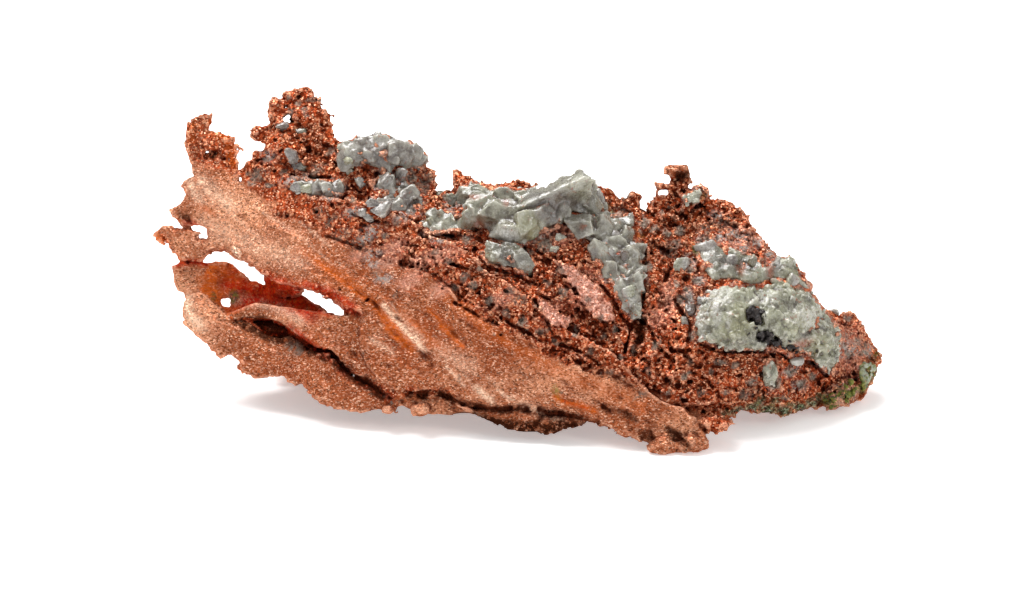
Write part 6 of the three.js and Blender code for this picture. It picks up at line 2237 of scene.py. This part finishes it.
MINERALS = []
for number, node in enumerate(sorted(STYLE)):
    lo_r, hi_r, dens, lump, sugar, grow, melt_ = STYLE[node]
    v, t = solid_arrays(node)
    g = Grid(v.min(0) - 2.2, v.max(0) + 2.2, 0.2)
    f = g.solid(v, t, 8.0)
    rg = np.random.default_rng(300 + number)
    f0 = f - grow
    c, nrm, area_mm2 = surface_sites(g, f0, 4000, rg)
    n = int(area_mm2 / 100 * dens * 1.5)
    r = lo_r * 0.8 + (hi_r - lo_r * 0.8) * rg.random(n) ** 2.0
    sizes = np.stack([r * rg.uniform(0.7, 1.0, n), r * rg.uniform(0.8, 1.15, n), r * rg.uniform(0.9, 1.5, n)], 1)
    frames = []
    for k in range(n):
        m, _ = np.linalg.qr(rg.standard_normal((3, 3)) + 1.2 * np.array([nrm[k] * 0, nrm[k], nrm[k] * 0]).T)
        frames.append(m.T)
    f = f0 + 0.12 + lump * (0.4 * g.noise(1.4, 400 + number)) + lump * 0.5 * (1 - np.abs(g.noise(0.9, 500 + number)))
    g.shards(f, c[:n] - nrm[:n] * r[:, None] * 0.66, sizes, frames, rg, melt=melt_)
    own = [k for k in CRYSTALS if k[7] == node]
    if own:
        k = np.array([k[:7] for k in own])
        w = sample(DEPTH, k[:, 0], k[:, 1])
        half = np.minimum(k[:, 2], k[:, 3])
        g.shards(
            f, to_xyz(k[:, 0], k[:, 1], w + half * 0.6),
            np.stack([k[:, 2] * 1.1, k[:, 3] * 1.1, half], 1), [turned(*q[4:7]) for q in k], rg, 6, 0.35, melt_,
        )
    f += sugar * (1 - np.abs(g.noise(0.45, 600 + number))) + 0.04 * g.noise(0.8, 700 + number) - sugar * 0.4
    hy, hz = np.meshgrid(g.y - OY, g.z, indexing="ij")
    hu = np.clip(((g.x - OX - U0) / HU).astype(int), 0, NU - 1)
    hv = np.clip(((hy * SN + hz * CS - V0) / HU).astype(int), 0, NV - 1)
    f = np.maximum(f, OUTSIDE[hu][:, hv] - 0.1 + 0.15 * g.noise(0.7, 900 + number))
    f = np.maximum(f, 0.06 - g.z[None, None, :])
    if node.startswith("dark"):
        f = np.maximum(f, 0.6 * g.noise(0.55, 800 + number) - 0.12)
    if node.startswith("green"):
        f = f + 1.3 * np.maximum(0, g.noise(0.8, 800 + number) - 0.1)
    p, tri = g.skin(f)
    p, tri = keep_big(p, tri, 60)
    oc = np.clip(0.5 - f / (2 * g.h), 0, 1)
    cav = g.at(g.blur(oc, 2), p) - 0.5
    deep = g.at(g.blur(oc, 5), p) - 0.5
    # what lies well inside the copper is not built
    inside = np.maximum(G.at(F, p), G.at(BODY, p))
    u, v_, w_ = to_uvw(p)
    tint = np.stack([sample(TINT[k], u, v_) * smooth(5, 3, w_ - sample(DEPTH, u, v_)) for k in range(4)], 1)
    MINERALS.append((node, p, tri, cav, deep, inside, tint))
lap("minerals")


def icosphere(times):
    q = (1 + 5**0.5) / 2
    v = [(-1, q, 0), (1, q, 0), (-1, -q, 0), (1, -q, 0), (0, -1, q), (0, 1, q), (0, -1, -q), (0, 1, -q), (q, 0, -1), (q, 0, 1), (-q, 0, -1), (-q, 0, 1)]
    f = [(0, 11, 5), (0, 5, 1), (0, 1, 7), (0, 7, 10), (0, 10, 11), (1, 5, 9), (5, 11, 4), (11, 10, 2), (10, 7, 6), (7, 1, 8),
         (3, 9, 4), (3, 4, 2), (3, 2, 6), (3, 6, 8), (3, 8, 9), (4, 9, 5), (2, 4, 11), (6, 2, 10), (8, 6, 7), (9, 8, 1)]
    v = [np.array(a) / np.linalg.norm(a) for a in v]
    for _ in range(times):
        cut, g = {}, []

        def mid(a, b):
            k = (min(a, b), max(a, b))
            if k not in cut:
                m = v[a] + v[b]
                cut[k] = len(v)
                v.append(m / np.linalg.norm(m))
            return cut[k]

        for a, b, c in f:
            d, e_, h_ = mid(a, b), mid(b, c), mid(c, a)
            g += [(a, d, h_), (b, e_, d), (c, h_, e_), (d, e_, h_)]
        f = g
    return np.array(v), np.array(f)


def crystals(centres, halves, frames, times, seed, power=26, planes=7):
    """Blocky crystals with softened edges, each its own closed skin."""
    dirs, faces = icosphere(times)
    r1 = np.random.default_rng(seed)
    P, T, K = [], [], []
    for k, (c, h, m) in enumerate(zip(centres, halves, frames)):
        n = np.concatenate([np.eye(3), -np.eye(3)]) + 0.28 * r1.standard_normal((6, 3))
        n = np.concatenate([n, r1.standard_normal((planes, 3))])
        n /= np.linalg.norm(n, axis=1, keepdims=True)
        d = np.concatenate([r1.uniform(0.8, 1.1, 6), r1.uniform(0.8, 1.2, planes)])
        s = np.maximum(dirs @ n.T, 0) / d
        r = (s**power).sum(1) ** (-1 / power)
        P.append((dirs * r[:, None] * h) @ m + c)
        T.append(faces + k * len(dirs))
        K.append(np.full(len(dirs), k))
    return np.concatenate(P), np.concatenate(T), np.concatenate(K)


gr = np.array([q[:5] for q in GRAINS])
kinds = np.array([q[5] for q in GRAINS])
rg = np.random.default_rng(77)
gw = np.median([sample(DEPTH2, gr[:, 0] + a, gr[:, 1] + b) for a, b in ((0, 0), (0.4, 0), (-0.4, 0), (0, 0.4), (0, -0.4))], 0)
ok = gw < 60
gr, kinds, gw = gr[ok], kinds[ok], gw[ok]
gh = np.minimum(gr[:, 2], gr[:, 3])
on_sheet = sample(SHEET, gr[:, 0], gr[:, 1]) > 0.5
black = kinds == "k"
gw[black] = (sample(DEPTH, gr[:, 0], gr[:, 1]) - 0.42)[black]
g_c = to_xyz(gr[:, 0], gr[:, 1], gw + gh * (0.68 + 0.25 * on_sheet))
g_h = np.stack([gr[:, 2] * 1.1, gr[:, 3] * 1.1, gh * 1.05], 1)
g_m = [turned(a, rg.uniform(-22, 22), rg.uniform(-22, 22)) for a in gr[:, 4]]
g_c[:, 2] = np.maximum(g_c[:, 2], g_h.max(1) + 0.1)

# small crystals strewn through the crumb on every side
cand = np.argwhere((np.abs(F) < H * 0.6) & (S3 < 0.3) & (FM > 0.4))
clump = np.random.default_rng(78)
cu, cv_, cw = to_uvw((cand + G.i0) * H)
cand = cand[(cw - sample(DEPTH, cu, cv_) > 3.5)]
seeds = cand[clump.integers(0, len(cand), 46)]
far = np.min([np.abs(cand - q).max(1) for q in seeds], 0) * H
weight = np.where(far < 3.0, 9.0, 1.0)
pick = cand[clump.choice(len(cand), 260, p=weight / weight.sum())]
s_g = np.stack([np.gradient(F, axis=k)[tuple(pick.T)] for k in range(3)], 1)
s_g /= np.linalg.norm(s_g, axis=1, keepdims=True) + 1e-6
s_c = (pick + G.i0) * H
s_r = 0.22 + 0.48 * clump.random(len(pick)) ** 2
behind = (to_uvw(s_c)[2] - sample(DEPTH, *to_uvw(s_c)[:2])) > 6
s_r[behind] *= 1.7
s_c = s_c - s_g * s_r[:, None] * 0.05
s_c[:, 2] = np.maximum(s_c[:, 2], 1.7 * s_r + 0.05)
s_h = np.stack([s_r * clump.uniform(0.8, 1.3, len(pick)), s_r, s_r * clump.uniform(0.7, 1.0, len(pick))], 1)
s_m = [np.linalg.qr(clump.standard_normal((3, 3)))[0] for _ in pick]
s_k = clump.choice(list("ppgggd"), len(pick))
LOOSE = []
for name, letters, slot in (
    ("grains_pale", "pgdwy", "prehnite"), ("grains_green", "m", "green_crust"), ("grains_dark", "k", "dark_mineral"), ("grains_copper", "o", "copper"),
):
    a = np.array([k in letters for k in kinds])
    if not a.any():
        continue
    P, T, K = crystals(g_c[a], g_h[a], [g_m[i] for i in np.nonzero(a)[0]], 3 if len(g_c[a]) < 40 else 2, 90)
    P = P + 0.05 * np.sin(P[:, [1, 2, 0]] * 9.1 + 1.3) + 0.03 * np.sin(P[:, [2, 0, 1]] * 17.7)
    P[:, 2] = np.maximum(P[:, 2], 0.05)
    kk = kinds[a][K]
    if name == "grains_pale":
        P2, T2, K2 = crystals(s_c, s_h, s_m, 1, 91, 10, 5)
        T = np.concatenate([T, T2 + len(P)])
        P = np.concatenate([P, np.maximum(P2, [-99, -99, 0.05])])
        kk = np.concatenate([kk, s_k[K2]])
    LOOSE.append((name, P, T, kk, slot))
lap("grains")

COPPER = copper_material()
TOTAL = [0]


def pieces(groups, p, tri, floats, colours, material, nodes, most=190000):
    for name, m, share in groups:
        t = tri[m]
        used = np.zeros(len(p), bool)
        used[t] = True
        idx = np.cumsum(used) - 1
        o = make_mesh(name, p[used], idx[t], [(k, a[used]) for k, a in floats], [(k, a[used]) for k, a in colours])
        want = min(len(t) * share, most)
        if want < len(t) * 0.98:
            d = o.modifiers.new("thin", "DECIMATE")
            d.ratio = want / len(t)
        TOTAL[0] += want
        print("piece %s %d -> %d" % (name, len(t), want))
        finish_piece(o, material, nodes)


cen = P3[TRI].mean(1)
fu, fv, fw = to_uvw(cen)
fq = fw - sample(DEPTH, fu, fv)
leaf_f = sample(SHEET, fu, fv) * smooth(7.0, 5.0, fq) > 0.5
front_f = (~leaf_f) & (fq < 5.0)
back_f = ~(leaf_f | front_f)
pieces(
    [
        ("copper_leaves", leaf_f, 0.5),
        ("copper_crumb_left", front_f & (fu < -8), 0.75),
        ("copper_crumb_middle", front_f & (fu >= -8) & (fu < 24), 0.75),
        ("copper_crumb_right", front_f & (fu >= 24), 0.75),
        ("copper_back_left", back_f & (fu < 5), 0.2),
        ("copper_back_right", back_f & (fu >= 5), 0.2),
    ],
    P3, TRI, [("sheet", sheet), ("cav", CAV), ("deep", DEEP), ("shade", shade), ("tone", tone)], [("paint", paint), ("film", film), ("film2", film2)],
    COPPER, ["native_copper"],
)
lap("copper pieces")

PALE, DARK, GREEN = prehnite_material(), dark_material(), green_material()
MATS = {"prehnite": PALE, "dark_mineral": DARK, "green_crust": GREEN, "copper": COPPER}
rest = 0
for node, p, tri, cav, deep, inside, tint in MINERALS:
    slot = "prehnite" if node.startswith("preh") else "dark_mineral" if node.startswith("dark") else "green_crust"
    buried = (inside[tri] < -0.8).all(1)
    tri = tri[~buried]
    share = 0.45 if not node.startswith("prehnite_back") else 0.3
    sage = 1.0 if node in ("prehnite_nodule", "prehnite_shelf", "prehnite_wedge", "prehnite_foot", "prehnite_cap_right") else 0.6 if node in ("prehnite_ridge", "prehnite_back_upper") else 0.4 if node in ("prehnite_vein", "prehnite_back_lower") else 0.15
    pieces([(node + "_look", np.ones(len(tri), bool), share)], p, tri, [("cav", cav), ("deep", deep), ("kind", cav * 0), ("sage", cav * 0 + sage)], [("tint", tint)], MATS[slot], [node])
tones = {"p": 0.5, "g": 0.25, "d": 0.0, "w": 1.0, "y": 0.75}
for name, p, tri, kk, slot in LOOSE:
    z = np.zeros(len(p))
    kind = np.array([tones.get(k, 0.5) for k in kk])
    if slot == "copper":
        # copper grains carry the painted glint colour all over
        fl, co = [("sheet", z), ("cav", z), ("deep", z), ("shade", z), ("tone", z)], [("paint", np.tile([0, 0, 0.8, 0], (len(p), 1))), ("film", np.zeros((len(p), 4))), ("film2", np.zeros((len(p), 4)))]
    else:
        fl = [("cav", z), ("deep", z), ("kind", np.where(np.isin(kk, list("pwy")), 0.0, 0.75)), ("sage", smooth(-0.2, 0.2, np.sin(p[:, 0] * 0.35)))]
        co = [("tint", np.stack([kk == "y", kk == "w", kk == "d", z > 1], 1).astype(float) * 0.6)]
        co[0][1][:, 1] += 0.30 * np.isin(kk, list("py"))
    pieces([(name, np.ones(len(tri), bool), 1.0)], p, tri, fl, co, MATS[slot], [])
print("total", TOTAL[0])
lap("mineral pieces")

# ---------------------------------------------------------------- stage
floor = bpy.data.meshes.new("floor")
floor.from_pydata([(-6, -6, 0), (6, -6, 0), (6, 6, 0), (-6, 6, 0)], [], [(0, 1, 2, 3)])
floor = bpy.data.objects.new("floor", floor)
bpy.context.scene.collection.objects.link(floor)
s = Nodes("studio_floor")
s.link(s.ramp(s.noise(40, 2), [(0.3, (0.93, 0.93, 0.93)), (0.7, (0.95, 0.95, 0.95))]), s.bsdf.inputs["Base Color"])
s.bsdf.inputs["Roughness"].default_value = 0.7
s.bsdf.inputs["Emission Color"].default_value = (1.0, 0.97, 0.96, 1)
s.bsdf.inputs["Emission Strength"].default_value = 0.38
floor.data.materials.append(s.mat)

world = bpy.data.worlds.new("studio")
bpy.context.scene.world = world
world.use_nodes = True
world.node_tree.nodes["Background"].inputs[0].default_value = (1, 1, 1, 1)
world.node_tree.nodes["Background"].inputs[1].default_value = 0.55


def area(name, loc, aim, size, power):
    d = bpy.data.lights.new(name, "AREA")
    d.shape = "RECTANGLE"
    d.size, d.size_y = size
    d.energy = power
    o = bpy.data.objects.new(name, d)
    bpy.context.scene.collection.objects.link(o)
    from mathutils import Vector

    o.location = loc
    o.rotation_mode = "QUATERNION"
    o.rotation_quaternion = (Vector(aim) - Vector(loc)).to_track_quat("-Z", "Y")
    return o


area("top", (-0.20, 0.24, 0.68), (0, 0, 0.02), (0.60, 0.45), 8.2)
area("front_right", (0.75, -0.7, 0.55), (0, 0, 0.02), (0.25, 0.25), 2.0)

cam = bpy.data.cameras.new("camera")
cam = bpy.data.objects.new("camera", cam)
bpy.context.scene.collection.objects.link(cam)
bpy.context.scene.camera = cam
DIST = 4.0
WIDTH = 1024 * 120 / 730.0 / MM
cam.data.sensor_width = 36.0
cam.data.lens = 36.0 * DIST / WIDTH
centre = to_xyz(np.float64((512 - 518) * 120 / 730), np.float64((455.5 - 301.5) * 120 / 730), np.float64(14.0)) / MM
back = np.array([0, -CS, SN])
cam.location = centre + back * DIST
cam.rotation_euler = (math.radians(90) - LEAN, 0, 0)
cam.data.clip_start, cam.data.clip_end = 0.5, 30
bpy.context.scene.view_settings.view_transform = "Standard"

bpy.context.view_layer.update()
lap("done")
